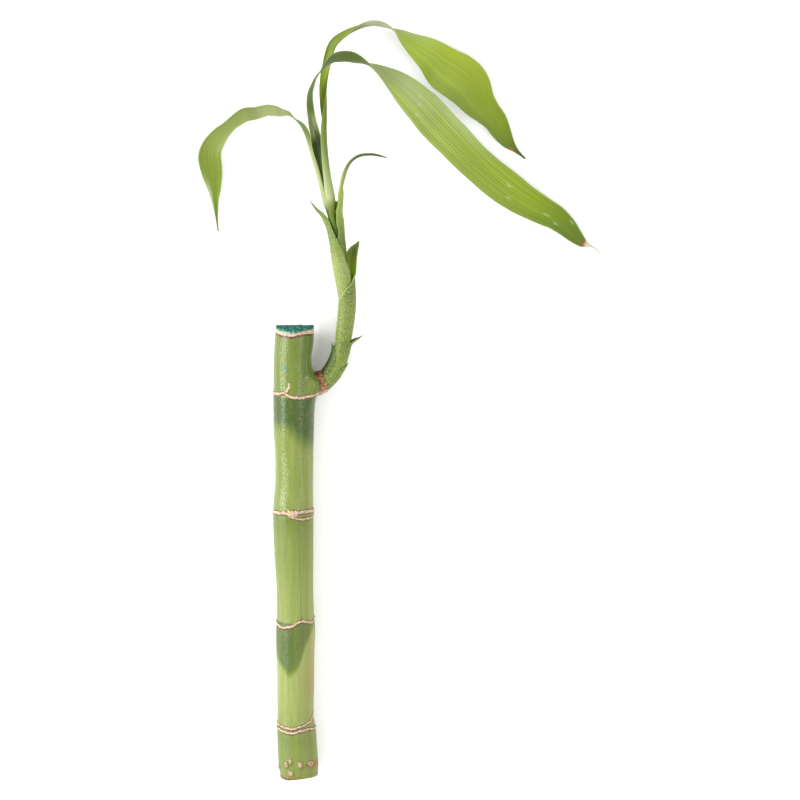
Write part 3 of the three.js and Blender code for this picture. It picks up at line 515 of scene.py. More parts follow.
def rind_material(sizes):
    """Rind of a living cane, as grown: smooth and satin, with fine lengthwise fibres, pale flecks, and dry
    cream scars with a brown lower lip."""
    material, tree = new_material("living_cane_rind_grown")
    place_on = add(tree, "TexCoord").outputs["Object"]
    mask = {
        key: add(tree, "Attribute", attribute_name=key).outputs["Fac"]
        for key in ("green", "scar", "under", "nub", "warm", "yellow", "teal", "cut", "dull")
    }
    noise = {}
    for key, scale, detail in (
        # Fibres are about 0.5 mm apart and 20 mm long.
        ("fibres", (1900, 50, 1900), 3.0),
        # Broad streaks are about 2.4 mm across and 60 mm long.
        ("broad", (420, 16, 420), 2.0),
        # Pale flecks, pores of the rind, are about 0.7 mm apart and 2 mm long.
        ("flecks", (1500, 520, 1500), 2.0),
        # Shallow dimples, about 0.6 mm by 1.1 mm, break the gloss into silvery specks.
        ("pores", (1800, 900, 1800), 2.0),
    ):
        spread = add(tree, "Mapping", {"Vector": place_on, "Scale": scale}).outputs[0]
        noise[key] = add(tree, "TexNoise", {"Vector": spread, "Scale": 1.0, "Detail": detail}).outputs["Fac"]
    drift = add(tree, "MapRange", {0: noise["broad"], 1: 0.3, 2: 0.7, 3: -0.06, 4: 0.06}).outputs[0]
    tone = add(tree, "Math", {0: mask["green"], 1: drift}, operation="ADD").outputs[0]
    greens = add(
        tree, "ValToRGB", {0: tone},
        stops=[
            (0, "#8a9150"), (0.15, "#7d8a42"), (0.3, "#707c34"), (0.5, "#616f25"), (0.72, "#516319"),
            (1, "#334806"),
        ],
    )
    for element, colour in ((0, sizes.pale_rind), (-1, sizes.dark_rind)):
        greens.color_ramp.elements[element].color = (*colour, 1)
    streak = add(tree, "MapRange", {0: noise["fibres"], 1: 0.3, 2: 0.7, 3: 0.9, 4: 1.1}).outputs[0]
    colour = add(tree, "HueSaturation", {"Color": greens.outputs[0], "Value": streak}).outputs[0]
    fleck = add(tree, "MapRange", {0: noise["flecks"], 1: 0.52, 2: 0.7, 3: 0, 4: 0.08}).outputs[0]
    for amount, tint in (
        (fleck, "#9ea77d"),
        (mask["yellow"], "#857c42"),
        (mask["teal"], "#1c6650"),
        (mask["warm"], "#7d4c1e"),
    ):
        colour = add(tree, "Mix", {"Factor": amount, 6: colour, 7: tint}, data_type="RGBA").outputs[2]
    # Dried skin crumbles in grains of about 0.7 mm.
    crumble = add(tree, "TexNoise", {"Vector": place_on, "Scale": 1500.0, "Detail": 3.0}).outputs["Fac"]
    dry = add(
        tree, "ValToRGB", {0: crumble},
        stops=[(0.3, "#6b4830"), (0.42, "#a08468"), (0.56, "#bdab95"), (0.72, "#d2c9bb")],
    ).outputs[0]
    cream = add(
        tree, "Mix", {"Factor": 0.25, 6: dry, 7: (*sizes.scar_cream, 1)}, data_type="RGBA"
    ).outputs[2]
    nub_skin = add(
        tree, "ValToRGB", {0: crumble}, stops=[(0.3, "#80603e"), (0.55, "#a08766"), (0.8, "#b7a68e")]
    ).outputs[0]
    # The cut face is pale pith with the dots of its water channels, about 0.8 mm apart.
    channels = add(tree, "TexVoronoi", {"Vector": place_on, "Scale": 1250.0}).outputs["Distance"]
    pith = add(
        tree, "ValToRGB", {0: channels}, stops=[(0.12, "#7d6a3f"), (0.3, "#a89f74"), (0.8, "#b3ad86")]
    ).outputs[0]
    ragged = add(tree, "MapRange", {0: crumble, 1: 0.3, 2: 0.7, 3: -0.2, 4: 0.2}).outputs[0]
    for key, tint in (("under", "#52300f"), ("scar", cream), ("nub", nub_skin), ("cut", pith)):
        torn = add(tree, "Math", {0: mask[key], 1: ragged}, operation="ADD").outputs[0]
        amount = add(tree, "MapRange", {0: torn, 1: 0.3, 2: 0.62, 3: 0, 4: 1}).outputs[0]
        colour = add(tree, "Mix", {"Factor": amount, 6: colour, 7: tint}, data_type="RGBA").outputs[2]
    rough = add(tree, "MapRange", {0: noise["pores"], 1: 0.35, 2: 0.65, 3: 0.14, 4: 0.36}).outputs[0]
    # The lower half has lost its shine, and scars have little.
    rough = add(tree, "Mix", {"Factor": mask["dull"], 2: rough, 3: 0.6}).outputs[0]
    rough = add(tree, "Mix", {"Factor": mask["scar"], 2: rough, 3: 0.8}).outputs[0]
    dry_height = add(tree, "Math", {0: crumble, 1: mask["scar"]}, operation="MULTIPLY").outputs[0]
    bump = add(tree, "Bump", {"Height": noise["pores"], "Distance": 0.00022, "Strength": 0.7}).outputs[0]
    for height, depth, strength in ((noise["fibres"], 0.00006, 0.5), (dry_height, 0.0003, 0.7)):
        bump = add(
            tree, "Bump", {"Height": height, "Distance": depth, "Strength": strength, "Normal": bump}
        ).outputs[0]
    shader = add(
        tree, "BsdfPrincipled",
        {"Base Color": colour, "Roughness": rough, "Normal": bump, "Specular IOR Level": 0.47},
    )
    add(tree, "OutputMaterial", {"Surface": shader.outputs[0]})
    return material


# Where the wax begins, and the brown line below the cream edge of the cut: degrees and height up the cane.
WAX_LINE = (
    (-90, 203.2), (-20, 203.5), (17, 203.6), (50, 203.9), (78, 203.5), (98, 202.9), (121, 203.0),
    (143, 203.4), (167, 203.5), (200, 203.5), (270, 203.2),
)
CUT_LINE = (
    (-90, 201.3), (8, 201.3), (50, 201.9), (71, 202.0), (90, 201.5), (107, 201.2), (118, 201.1), (142, 201.5),
    (180, 201.4), (270, 201.3),
)
# The cut foot, from its middle to its rim: part of the radius, and how far it is sunk.
FOOT_FACE = ((0.05, 0.5), (0.3, 0.5), (0.55, 0.42), (0.75, 0.3), (0.86, 0.16), (0.93, 0.05), (0.97, 0.0))


def soft_spots(kind, degrees, along):
    """The strongest of a kind's spots at each place on the skin."""
    amount = np.zeros(np.broadcast(degrees, along).shape)
    for at_degrees, at_along, half_width, half_length, strength in SPOTS[kind]:
        sideways = (degrees - at_degrees) * ARC_PER_DEGREE
        away = np.hypot(sideways / half_width, (along - at_along) / half_length)
        amount = np.maximum(amount, strength * np.exp(-away ** 2))
    return amount


def rind_green(degrees, along, arc):
    """How green the rind is at each place, from 0 pale to 1 dark, with painted shade added in a crease, in a
    spot above the third ring and on two sides of the cane.
    """
    green = np.interp(along, *np.array(GREENNESS).T) + 0 * degrees
    for node, darkness, softness, edge in DARK_BELOW:
        ends = np.interp(degrees, *np.array(edge).T) + 0.8 * grain(arc, along / 5, 8, 2, 7)
        inside = ease_between(0, softness, along - ends) * (along < node)
        green = green + (darkness - green) * inside
    # The crease's painted shade
    off_crease = (degrees - CREASE_SHADE["at"]) * ARC_PER_DEGREE / CREASE_SHADE["half_width"]
    crease_shade = ease_between(CREASE_SHADE["start"], CREASE_SHADE["full"], along) * (along < CREASE_SHADE["end"])
    crease_shade = CREASE_SHADE["darkness"] * np.exp(-off_crease ** 2) * crease_shade
    # Painted shade in a spot above the third ring
    green = green + soft_spots("dark", degrees, along) + crease_shade
    # Painted shade on two sides of the cane
    for amount, one_side, other_side, heights in PAINTED_SHADE_BANDS:
        round_it = ease_between(*one_side, degrees) * ease_between(*other_side, degrees)
        green = green + amount * round_it * ease_between(*heights, along)
    return np.clip(green, 0, 1)


def make_cane():
    """The cane's rind, scars, nubs and cut foot."""
    columns = 216
    degrees = np.arange(columns)[None, :] * 360 / columns - 90
    angle = np.radians(degrees)
    foot = np.array(FOOT_FACE)
    heights = np.concatenate([0 * foot[:, 0], cane_heights()])[:, None]
    part = np.concatenate([foot[:, 0], np.ones(len(heights) - len(foot))])[:, None]
    sunk = np.concatenate([foot[:, 1], np.zeros(len(heights) - len(foot))])[:, None]
    # The rind's last rings rise to just under where the wax begins.
    wax_line = np.interp(degrees, *np.array(WAX_LINE).T)
    rising = np.clip((heights - RISE_START) / (CANE_LENGTH - RISE_START), 0, 1)
    along = heights + rising * (wax_line + 0.1 - CANE_LENGTH)
    off_lip = (degrees - FOOT_LIP["at"]) / FOOT_LIP["round"]
    lip = FOOT_LIP["depth"] + FOOT_LIP["deeper"] * np.exp(-off_lip ** 2)
    along = along - lip * ease_between(FOOT_LIP["height"], 0, heights)
    across, middle_lift, radius = (values[:, None] for values in cane_axis(heights[:, 0]))
    arc = angle * MEAN_RADIUS
    height_off = along - SWELLING["at"]
    height_off = np.where(height_off > 0, height_off / SWELLING["above"], height_off / SWELLING["below"])
    degrees_off = (degrees - SWELLING["middle"]) / SWELLING["round"]
    swelling = np.exp(-np.abs(height_off) ** 2.6 - np.abs(degrees_off) ** 6)
    skin = radius + SWELLING["height"] * swelling
    up_hollow = (along - HOLLOW["at"]) / HOLLOW["half_length"]
    skin = skin - HOLLOW["depth"] * np.exp(-(degrees / HOLLOW["round"]) ** 4 - up_hollow ** 2)
    # Slight lengthwise ribs, and a slow change of thickness up the cane
    skin = skin + 0.05 * grain(arc, along / 8, 3, 2, 9) + 0.06 * grain(arc * 0, along, 4, 8, 60)
    scar = np.zeros(skin.shape)
    under = np.zeros(skin.shape)
    # The scars are knobbly and wander a little, and a fine brown line runs along both sides of each.
    knobs = grain(arc, along, 5, 0.9, 3.2)
    wander = 0.17 * grain(arc, along * 0, 6, 1.4, 7)
    line_width = 0.3
    for height, half_width, corners in SCARS:
        route = smooth_route(corners)
        away = off_route(arc, along + wander, route) / (half_width * (1 + 0.2 * knobs))
        skin = skin + height * (1 + 0.35 * knobs) * np.exp(-away ** 2)
        scar = np.maximum(scar, np.exp(-(away / 1.02) ** 4))
        for side, strength in ((1.3, 1.0), (-1.25, 0.85)):
            beside = off_route(arc, along + wander + half_width * side, route)
            under = np.maximum(under, strength * np.exp(-(beside / line_width) ** 2))
    nub = np.zeros(skin.shape)
    for at_degrees, at_along, half_width, half_length, height in NUBS:
        sideways = ((degrees - at_degrees + 540) % 360 - 180) * ARC_PER_DEGREE
        away = np.hypot(sideways / half_width, (along - at_along) / half_length)
        # A flat-topped bump with a dimple in its middle and a brown ring round it
        dimple = 0.2 * np.exp(-(away / 0.35) ** 2)
        skin = skin + height * (np.exp(-away ** 4) * (1 + 0.25 * knobs) - dimple)
        nub = np.maximum(nub, np.exp(-(away / 0.95) ** 6) * (1 - 0.6 * np.exp(-(away / 0.3) ** 2)))
        under = np.maximum(under, 0.62 * np.exp(-((away - 1.1) / 0.2) ** 2))
    # A brown line, then cream, where the head was cut, and a brown edge round the foot
    cut_line = smooth_route(CUT_LINE)
    rim = off_route(arc, along + wander, cut_line)
    above_rim = along + wander > np.interp(degrees, *cut_line.T)
    under = np.maximum(under, np.exp(-(rim / 0.6) ** 2))
    scar = np.maximum(scar, above_rim * ease_between(0.3, 0.62, rim))
    under = np.maximum(under, 0.7 * ease_between(0.5, 0.2, heights) + 0 * degrees)
    out, rise = part * skin * np.cos(angle), part * skin * np.sin(angle)
    points = np.stack([across + out, along + sunk + 0 * out, np.maximum(middle_lift + rise, 0)], axis=2)
    points[: len(foot) + 1, :, 1] += FOOT_SLOPE * out[: len(foot) + 1]
    points[:, :, 1] += HEAD_SLOPE * np.minimum(rise, 0) * rising
    cut = (part < 0.98) + 0 * skin
    # The rind is dull below the second ring.
    dull = 0.5 * ease_between(124, 112, along) + 0 * skin
    spots = {key: soft_spots(key, degrees, along) for key in ("warm", "yellow", "teal")}
    return shaped_tube(
        "cane_rind", columns, len(heights), points, fans=True, green=rind_green(degrees, along, arc),
        scar=scar * (1 - cut), under=under * (1 - cut), nub=nub * (1 - cut), cut=cut, dull=dull, **spots,
    )


class MakeCane(bpy.types.Operator):
    """Model the cane with its leaf scars, bud scars and root nubs"""

    bl_idname = "lucky_bamboo.make_cane"
    bl_label = "Cane"

    def execute(self, context):
        sizes = context.scene.plant_sizes
        declare(make_cane(), rind_material(sizes), "cane_rind", "cane")
        return {"FINISHED"}


def make_wax(sizes):
    """A cap of wax that follows the cut head, with a rounded rim."""
    columns = 96
    degrees = np.arange(columns)[None, :] * 360 / columns - 90
    angle = np.radians(degrees)
    across, middle_lift, _ = (values[0] for values in cane_axis(np.array([CANE_LENGTH])))
    edge = sizes.wax_edge / MM
    wax_line = np.interp(degrees, *np.array(WAX_LINE).T)
    start, end = CANE_LENGTH, CANE_LENGTH + WAX_THICKNESS
    # From the lip over the rind, up the wall, round the rim and in over the top
    profile = [(start, 8.1), (start + 0.1, 8.3)]
    profile += [(along, WAX_RADIUS) for along in np.linspace(start + 0.3, end - edge - 0.1, 6)]
    profile += [
        (end - edge + edge * math.sin(turn), WAX_RADIUS - edge + edge * math.cos(turn))
        for turn in np.linspace(0.15, math.pi / 2, 7)
    ]
    profile += [(end - 0.06 * (1 - reach / 8), reach) for reach in np.linspace(7.4, 0.6, 14)]
    along, radius = np.array(profile).T[:, :, None]
    along = end + (along - end) * (end - wax_line) / (end - start)
    lumps = grain(angle * 8, along * 3 + radius, 21, 1.5, 7)
    skin = radius + 0.06 * lumps * (radius > 7)
    dip = 0.1 * lumps * (radius < 8)
    out, rise = skin * np.cos(angle), skin * np.sin(angle)
    up = along + dip + HEAD_SLOPE * np.minimum(rise, 0)
    points = np.stack([across + out, up, np.maximum(middle_lift + rise, 0)], axis=2)
    wall = (radius > 7.9) * np.clip((end - along) / (end - wax_line), 0, 1)
    return shaped_tube("wax_cap", columns, len(profile), points, fans=True, wall=wall)


class MakeWax(bpy.types.Operator):
    """Model the sealing wax on the cut head"""

    bl_idname = "lucky_bamboo.make_wax"
    bl_label = "Wax"

    def execute(self, context):
        sizes = context.scene.plant_sizes
        # Sealing wax, dipped: dull and slightly lumpy, thin and pale where it runs over the rim.
        material, tree = new_material("sealing_wax_dipped")
        place_on = add(tree, "TexCoord").outputs["Object"]
        cloud = add(tree, "TexNoise", {"Vector": place_on, "Scale": 1100.0, "Detail": 4.0}).outputs["Fac"]
        wall = add(tree, "Attribute", attribute_name="wall").outputs["Fac"]
        top = add(
            tree, "ValToRGB", {0: cloud},
            stops=[(0.32, "#062c27"), (0.5, "#144f46"), (0.62, "#257263"), (0.74, "#5b9c90")],
        )
        top.color_ramp.elements[1].color = (*sizes.wax_teal, 1)
        side = add(
            tree, "ValToRGB", {0: cloud}, stops=[(0.3, "#154f47"), (0.5, "#286c60"), (0.72, "#5a978a")]
        ).outputs[0]
        ragged = add(tree, "MapRange", {0: cloud, 1: 0.35, 2: 0.65, 3: -0.25, 4: 0.25}).outputs[0]
        reach = add(tree, "Math", {0: wall, 1: ragged}, operation="ADD").outputs[0]
        colour = top.outputs[0]
        for begin, full, tint in ((0.1, 0.5, side), (0.66, 1.1, "#9db3a2")):
            thin = add(tree, "MapRange", {0: reach, 1: begin, 2: full, 3: 0, 4: 1}).outputs[0]
            colour = add(
                tree, "Mix", {"Factor": thin, 6: colour, 7: tint}, data_type="RGBA"
            ).outputs[2]
        bump = add(tree, "Bump", {"Height": cloud, "Distance": 0.0003, "Strength": 0.6}).outputs[0]
        shader = add(
            tree, "BsdfPrincipled",
            {"Base Color": colour, "Roughness": 0.8, "Normal": bump, "Specular IOR Level": 0.15},
        )
        add(tree, "OutputMaterial", {"Surface": shader.outputs[0]})
        declare(make_wax(sizes), material, "wax", "wax_seal")
        return {"FINISHED"}


def frames_along(line):
    """The side and facing directions of a line of points, before any roll."""
    forward = np.gradient(line, axis=0)
    forward /= np.linalg.norm(forward, axis=1)[:, None]
    side = np.cross(forward, (0, 0, 1))
    side /= np.linalg.norm(side, axis=1)[:, None]
    return side, np.cross(side, forward)


def running_length(line):
    """How far along its own line each point lies."""
    return np.concatenate([[0], np.cumsum(np.linalg.norm(np.diff(line, axis=0), axis=1))])


def round_piece(name, table, columns, rows, seed, wrinkle):
    """A round, slightly wrinkled stem through rows of across, up, lift and radius."""
    placed = np.array([(*place(*row[:3]), row[3]) for row in table])
    knots = running_length(placed[:, :3])
    dense = smooth_rows(knots, placed, np.linspace(0, knots[-1], rows))
    side, facing = frames_along(dense[:, :3])
    angle = np.arange(columns)[None, :, None] * TURN / columns
    along = np.linspace(0, knots[-1], rows)[:, None]
    arc = angle[:, :, 0] * dense[:, 3].mean()
    skin = dense[:, 3:4] + wrinkle * grain(arc, along, seed, 0.8, 4)
    points = dense[:, None, :3] + skin[:, :, None] * (
        side[:, None] * np.cos(angle) + facing[:, None] * np.sin(angle)
    )
    return shaped_tube(name, columns, rows, points, fans=True, lower=np.cos(angle[:, :, 0]) + 0 * along)


class MakeCollar(bpy.types.Operator):
    """Model the dry collar round the shoot's foot"""

    bl_idname = "lucky_bamboo.make_collar"
    bl_label = "Collar"

    def execute(self, context):
        # Dry bark, peeled: matt and brown, wrinkled round the shoot, with pale torn flakes.
        material, tree = new_material("dry_bark_peeled")
        place_on = add(tree, "TexCoord").outputs["Object"]
        flakes = add(
            tree, "TexNoise", {"Vector": place_on, "Scale": 900.0, "Detail": 5.0, "Roughness": 0.65}
        ).outputs["Fac"]
        lower = add(tree, "Attribute", attribute_name="lower").outputs["Fac"]
        tone = add(tree, "Math", {0: lower, 1: 0.08, 2: flakes}, operation="MULTIPLY_ADD").outputs[0]
        colour = add(
            tree, "ValToRGB", {0: tone},
            stops=[
                (0.3, "#3a1c0d"), (0.42, "#6b4429"), (0.54, "#8e6544"), (0.66, "#a88a6b"), (0.8, "#b3a28a"),
            ],
        ).outputs[0]
        # The skin is torn pale along the collar's lower side.
        torn = add(tree, "Math", {0: lower, 1: flakes}, operation="ADD").outputs[0]
        pale = add(tree, "MapRange", {0: torn, 1: 1.12, 2: 1.34, 3: 0, 4: 0.85}).outputs[0]
        colour = add(
            tree, "Mix", {"Factor": pale, 6: colour, 7: "#bba68c"}, data_type="RGBA"
        ).outputs[2]
        bump = add(tree, "Bump", {"Height": flakes, "Distance": 0.0004, "Strength": 0.8}).outputs[0]
        shader = add(tree, "BsdfPrincipled", {"Base Color": colour, "Roughness": 0.85, "Normal": bump})
        add(tree, "OutputMaterial", {"Surface": shader.outputs[0]})
        obj = round_piece("collar_bark", COLLAR, 96, 40, 31, 0.16)
        declare(obj, material, "dry_bark", "bud_collar")
        return {"FINISHED"}


class MakeStem(bpy.types.Operator):
    """Model the shoot's young stem"""

    bl_idname = "lucky_bamboo.make_stem"
    bl_label = "Stem"

    def execute(self, context):
        obj = round_piece("young_stem", STEM, 48, 90, 41, 0.03)
        # Young stem, as grown: moist and satin, mottled from dark to mid green.
        material, tree = new_material("young_stem_grown")
        place_on = add(tree, "TexCoord").outputs["Object"]
        cloud = add(tree, "TexNoise", {"Vector": place_on, "Scale": 500.0, "Detail": 3.0}).outputs["Fac"]
        colour = add(
            tree, "ValToRGB", {0: cloud}, stops=[(0.3, "#3c5212"), (0.5, "#56701f"), (0.7, "#758740")]
        ).outputs[0]
        bump = add(tree, "Bump", {"Height": cloud, "Distance": 0.0001, "Strength": 0.5}).outputs[0]
        shader = add(tree, "BsdfPrincipled", {"Base Color": colour, "Roughness": 0.45, "Normal": bump})
        add(tree, "OutputMaterial", {"Surface": shader.outputs[0]})
        declare(obj, material, "stem_green", "shoot_stem")
        return {"FINISHED"}


def leaf_table(name):
    """All rows of a leaf as x, y, z, width, curl and roll."""
    stem = np.array(STEM, float)
    rows = []
    for up, radius, curl, roll, shift in SHEATH_ROWS.get(name, ()):
        here, ahead = smooth_rows(stem[:, 1], stem, np.array([up, up + 0.5]))
        centre = place(here[0], up, here[2])
        forward = place(*ahead[:3]) - centre
        forward /= np.linalg.norm(forward)
        side = np.cross(forward, (0, 0, 1))
        side /= np.linalg.norm(side)
        facing = np.cross(side, forward) * math.cos(math.radians(roll)) + side * math.sin(math.radians(roll))
        rows.append((*(centre + facing * (radius + shift)), radius * math.radians(curl), curl, roll))
    for across, up, lift, *rest in BLADE_ROWS.get(name, ()):
        rows.append((*place(across, up, lift), *rest))
    return np.array(rows, float)


def make_leaf(name, look, thickness):
    """A blade or sheath: an arched strip with two faces, thin at its margins and its tip."""
    table = leaf_table(name)
    knots = running_length(table[:, :3])
    length = knots[-1]
    rows = int(length / look.get("step", 0.8)) + 2
    run = np.linspace(0, length, rows)
    dense = smooth_rows(knots, table, run)
    side, facing = frames_along(dense[:, :3])
    roll = np.radians(dense[:, 5:6])
    side, facing = side * np.cos(roll) - facing * np.sin(roll), facing * np.cos(roll) + side * np.sin(roll)
    half = look.get("columns", 20)
    across = np.concatenate([np.linspace(-1, 1, half), np.linspace(1, -1, half)])[None, :]
    outer = np.concatenate([np.ones(half), np.zeros(half)])[None, :]
    width = np.maximum(dense[:, 3:4], 0.25)
    curl = np.radians(np.maximum(dense[:, 4:5], 4))
    radius = width / curl
    run = run[:, None]
    seed = sum(map(ord, name))
    waver = look.get("waver", 0.0) * grain(run, across * 0, seed, 8, 40)
    waver = waver * np.sign(across) * np.abs(across) ** 2
    tip = ease_between(-0.5, 4.0, length - run)
    thin = (1 - 0.6 * np.abs(across) ** 4) * (0.3 + 0.7 * tip)
    ripple = 0.06 * grain(across * width / 2, run / 30, seed + 1, 1.2, 4)
    layer = radius + (outer - 0.5) * thickness * thin + ripple * tip
    angle = across * curl / 2 * (1 + waver / width)
    points = dense[:, None, :3] + (
        side[:, None] * (layer * np.sin(angle))[:, :, None]
        + facing[:, None] * (layer * np.cos(angle) - radius)[:, :, None]
    )
    points[:, :, 2] = np.maximum(points[:, :, 2], 0.02)
    widest = width.max()
    from_margin = (1 - np.abs(across)) * width / 2
    veins = np.stack([across * widest / 2 + 0 * run, run + 0 * across, from_margin], axis=2)
    # Soft patches: painted shade, painted sheen, pale patches that are painted highlight on the stalks, and
    # the leaf's own scratches and brown spots
    masks = {key: np.zeros((rows, 2 * half)) for key in ("sheen", "dark", "pale", "scratch", "brown")}
    for key, at, side_at, run_size, side_size, strength in look.get("patches", ()):
        spread = ((run - at) / run_size) ** 2 + ((across - side_at) / side_size) ** 2
        masks[key] = np.maximum(masks[key], strength * np.exp(-spread))
    return shaped_tube(
        name + "_skin", 2 * half, rows, points, veins=veins, run=run + 0 * across,
        outer=outer + 0 * run, **masks,
    )


def leaf_material(name, look):
    """Leaf or sheath, as grown: satin, with fine parallel veins, a silvery bloom and a thin pale margin, with
    patches of painted shade, painted sheen and painted highlight laid over it.
    """
    material, tree = new_material(name + "_grown")
    veins = add(tree, "Attribute", attribute_name="veins").outputs["Vector"]
    mask = {
        key: add(tree, "Attribute", attribute_name=key).outputs["Fac"]
        for key in ("run", "outer", "sheen", "dark", "pale", "scratch", "brown")
    }
    margin = add(tree, "SeparateXYZ", {0: veins}).outputs["Z"]
    faces = []
    for face in ("outer", "inner"):
        stops = look.get(face, look["outer"])
        span = max(at for at, _ in stops)
        part = add(tree, "MapRange", {0: mask["run"], 1: 0, 2: span, 3: 0, 4: 1}).outputs[0]
        ramp = [(at / span, code) for at, code in stops]
        faces.append(add(tree, "ValToRGB", {0: part}, stops=ramp).outputs[0])
    colour = add(
        tree, "Mix", {"Factor": mask["outer"], 6: faces[1], 7: faces[0]}, data_type="RGBA"
    ).outputs[2]
    noise = {}
    for key, scale, detail in (
        # Veins are about 0.5 mm apart and run the leaf's length.
        ("fine", (2.0, 0.03, 0), 2.0),
        # A broader one comes every 1.6 mm or so.
        ("broad", (0.62, 0.012, 0), 1.0),
        # Pale flecks, the silvery bloom, are about 0.4 mm by 0.9 mm.
        ("flecks", (2.3, 1.1, 0), 3.0),
    ):
        spread = add(tree, "Mapping", {"Vector": veins, "Scale": scale}).outputs[0]
        noise[key] = add(tree, "TexNoise", {"Vector": spread, "Scale": 1.0, "Detail": detail}).outputs["Fac"]
    both = add(tree, "Math", {0: noise["fine"], 1: noise["broad"]}, operation="ADD").outputs[0]
    contrast = look.get("contrast", 0.11)
    value = add(tree, "MapRange", {0: both, 1: 0.7, 2: 1.3, 3: 1 - contrast, 4: 1 + contrast}).outputs[0]
    # A thin dark line runs in every furrow. At a scale of 1 the wave repeats every TURN / 20.
    furrow_spacing = 1.35
    furrow_place = add(tree, "Mapping", {"Vector": veins, "Scale": (1.0, 0.04, 0)}).outputs[0]
    furrows = add(
        tree, "TexWave",
        {
            "Vector": furrow_place, "Scale": TURN / 20 / furrow_spacing, "Distortion": 2.0, "Detail": 1.0,
            "Detail Scale": 2.0,
        },
    ).outputs["Fac"]
    lines = look.get("lines", 0.0)
    line = add(tree, "MapRange", {0: furrows, 1: 0, 2: 0.35, 3: 1 - lines, 4: 1}).outputs[0]
    value = add(tree, "Math", {0: value, 1: line}, operation="MULTIPLY").outputs[0]
    colour = add(tree, "HueSaturation", {"Color": colour, "Value": value}).outputs[0]
    flecks = noise["flecks"]
    mottle = look.get("mottle", 0.05)
    fleck = add(tree, "MapRange", {0: flecks, 1: 0.48, 2: 0.62, 3: 0, 4: mottle}).outputs[0]
    rim = add(
        tree, "MapRange", {0: margin, 1: 0.12, 2: look.get("rim_width", 0.45), 3: look.get("rim", 0.3), 4: 0}
    ).outputs[0]
    # Laid over in turn: pale flecks, painted sheen, painted shade, pale patches that are painted highlight on
    # the stalks, the pale margin, scratches and brown spots
    for amount, tint in (
        (fleck, "#a4ad82"),
        (mask["sheen"], "#8f9a76"),
        (mask["dark"], look.get("painted_shade_tint", "#3d5b07")),
        (mask["pale"], "#aeb792"),
        (rim, "#99a671"),
        (mask["scratch"], "#b2b798"),
        (mask["brown"], "#8a5a22"),
    ):
        colour = add(tree, "Mix", {"Factor": amount, 6: colour, 7: tint}, data_type="RGBA").outputs[2]
    rough = add(tree, "MapRange", {0: flecks, 1: 0.3, 2: 0.7, 3: 0.36, 4: 0.5}).outputs[0]
    height = add(tree, "Math", {0: both, 1: flecks}, operation="ADD").outputs[0]
    bump = add(tree, "Bump", {"Height": height, "Distance": 0.00012, "Strength": 0.35}).outputs[0]
    shader = add(
        tree, "BsdfPrincipled",
        {
            "Base Color": colour, "Roughness": rough, "Normal": bump, "Specular IOR Level": 0.23,
            "Subsurface Weight": 0.12, "Subsurface Scale": 0.0008, "Subsurface Radius": (0.6, 1.0, 0.3),
        },
    )
    add(tree, "OutputMaterial", {"Surface": shader.outputs[0]})
    return material
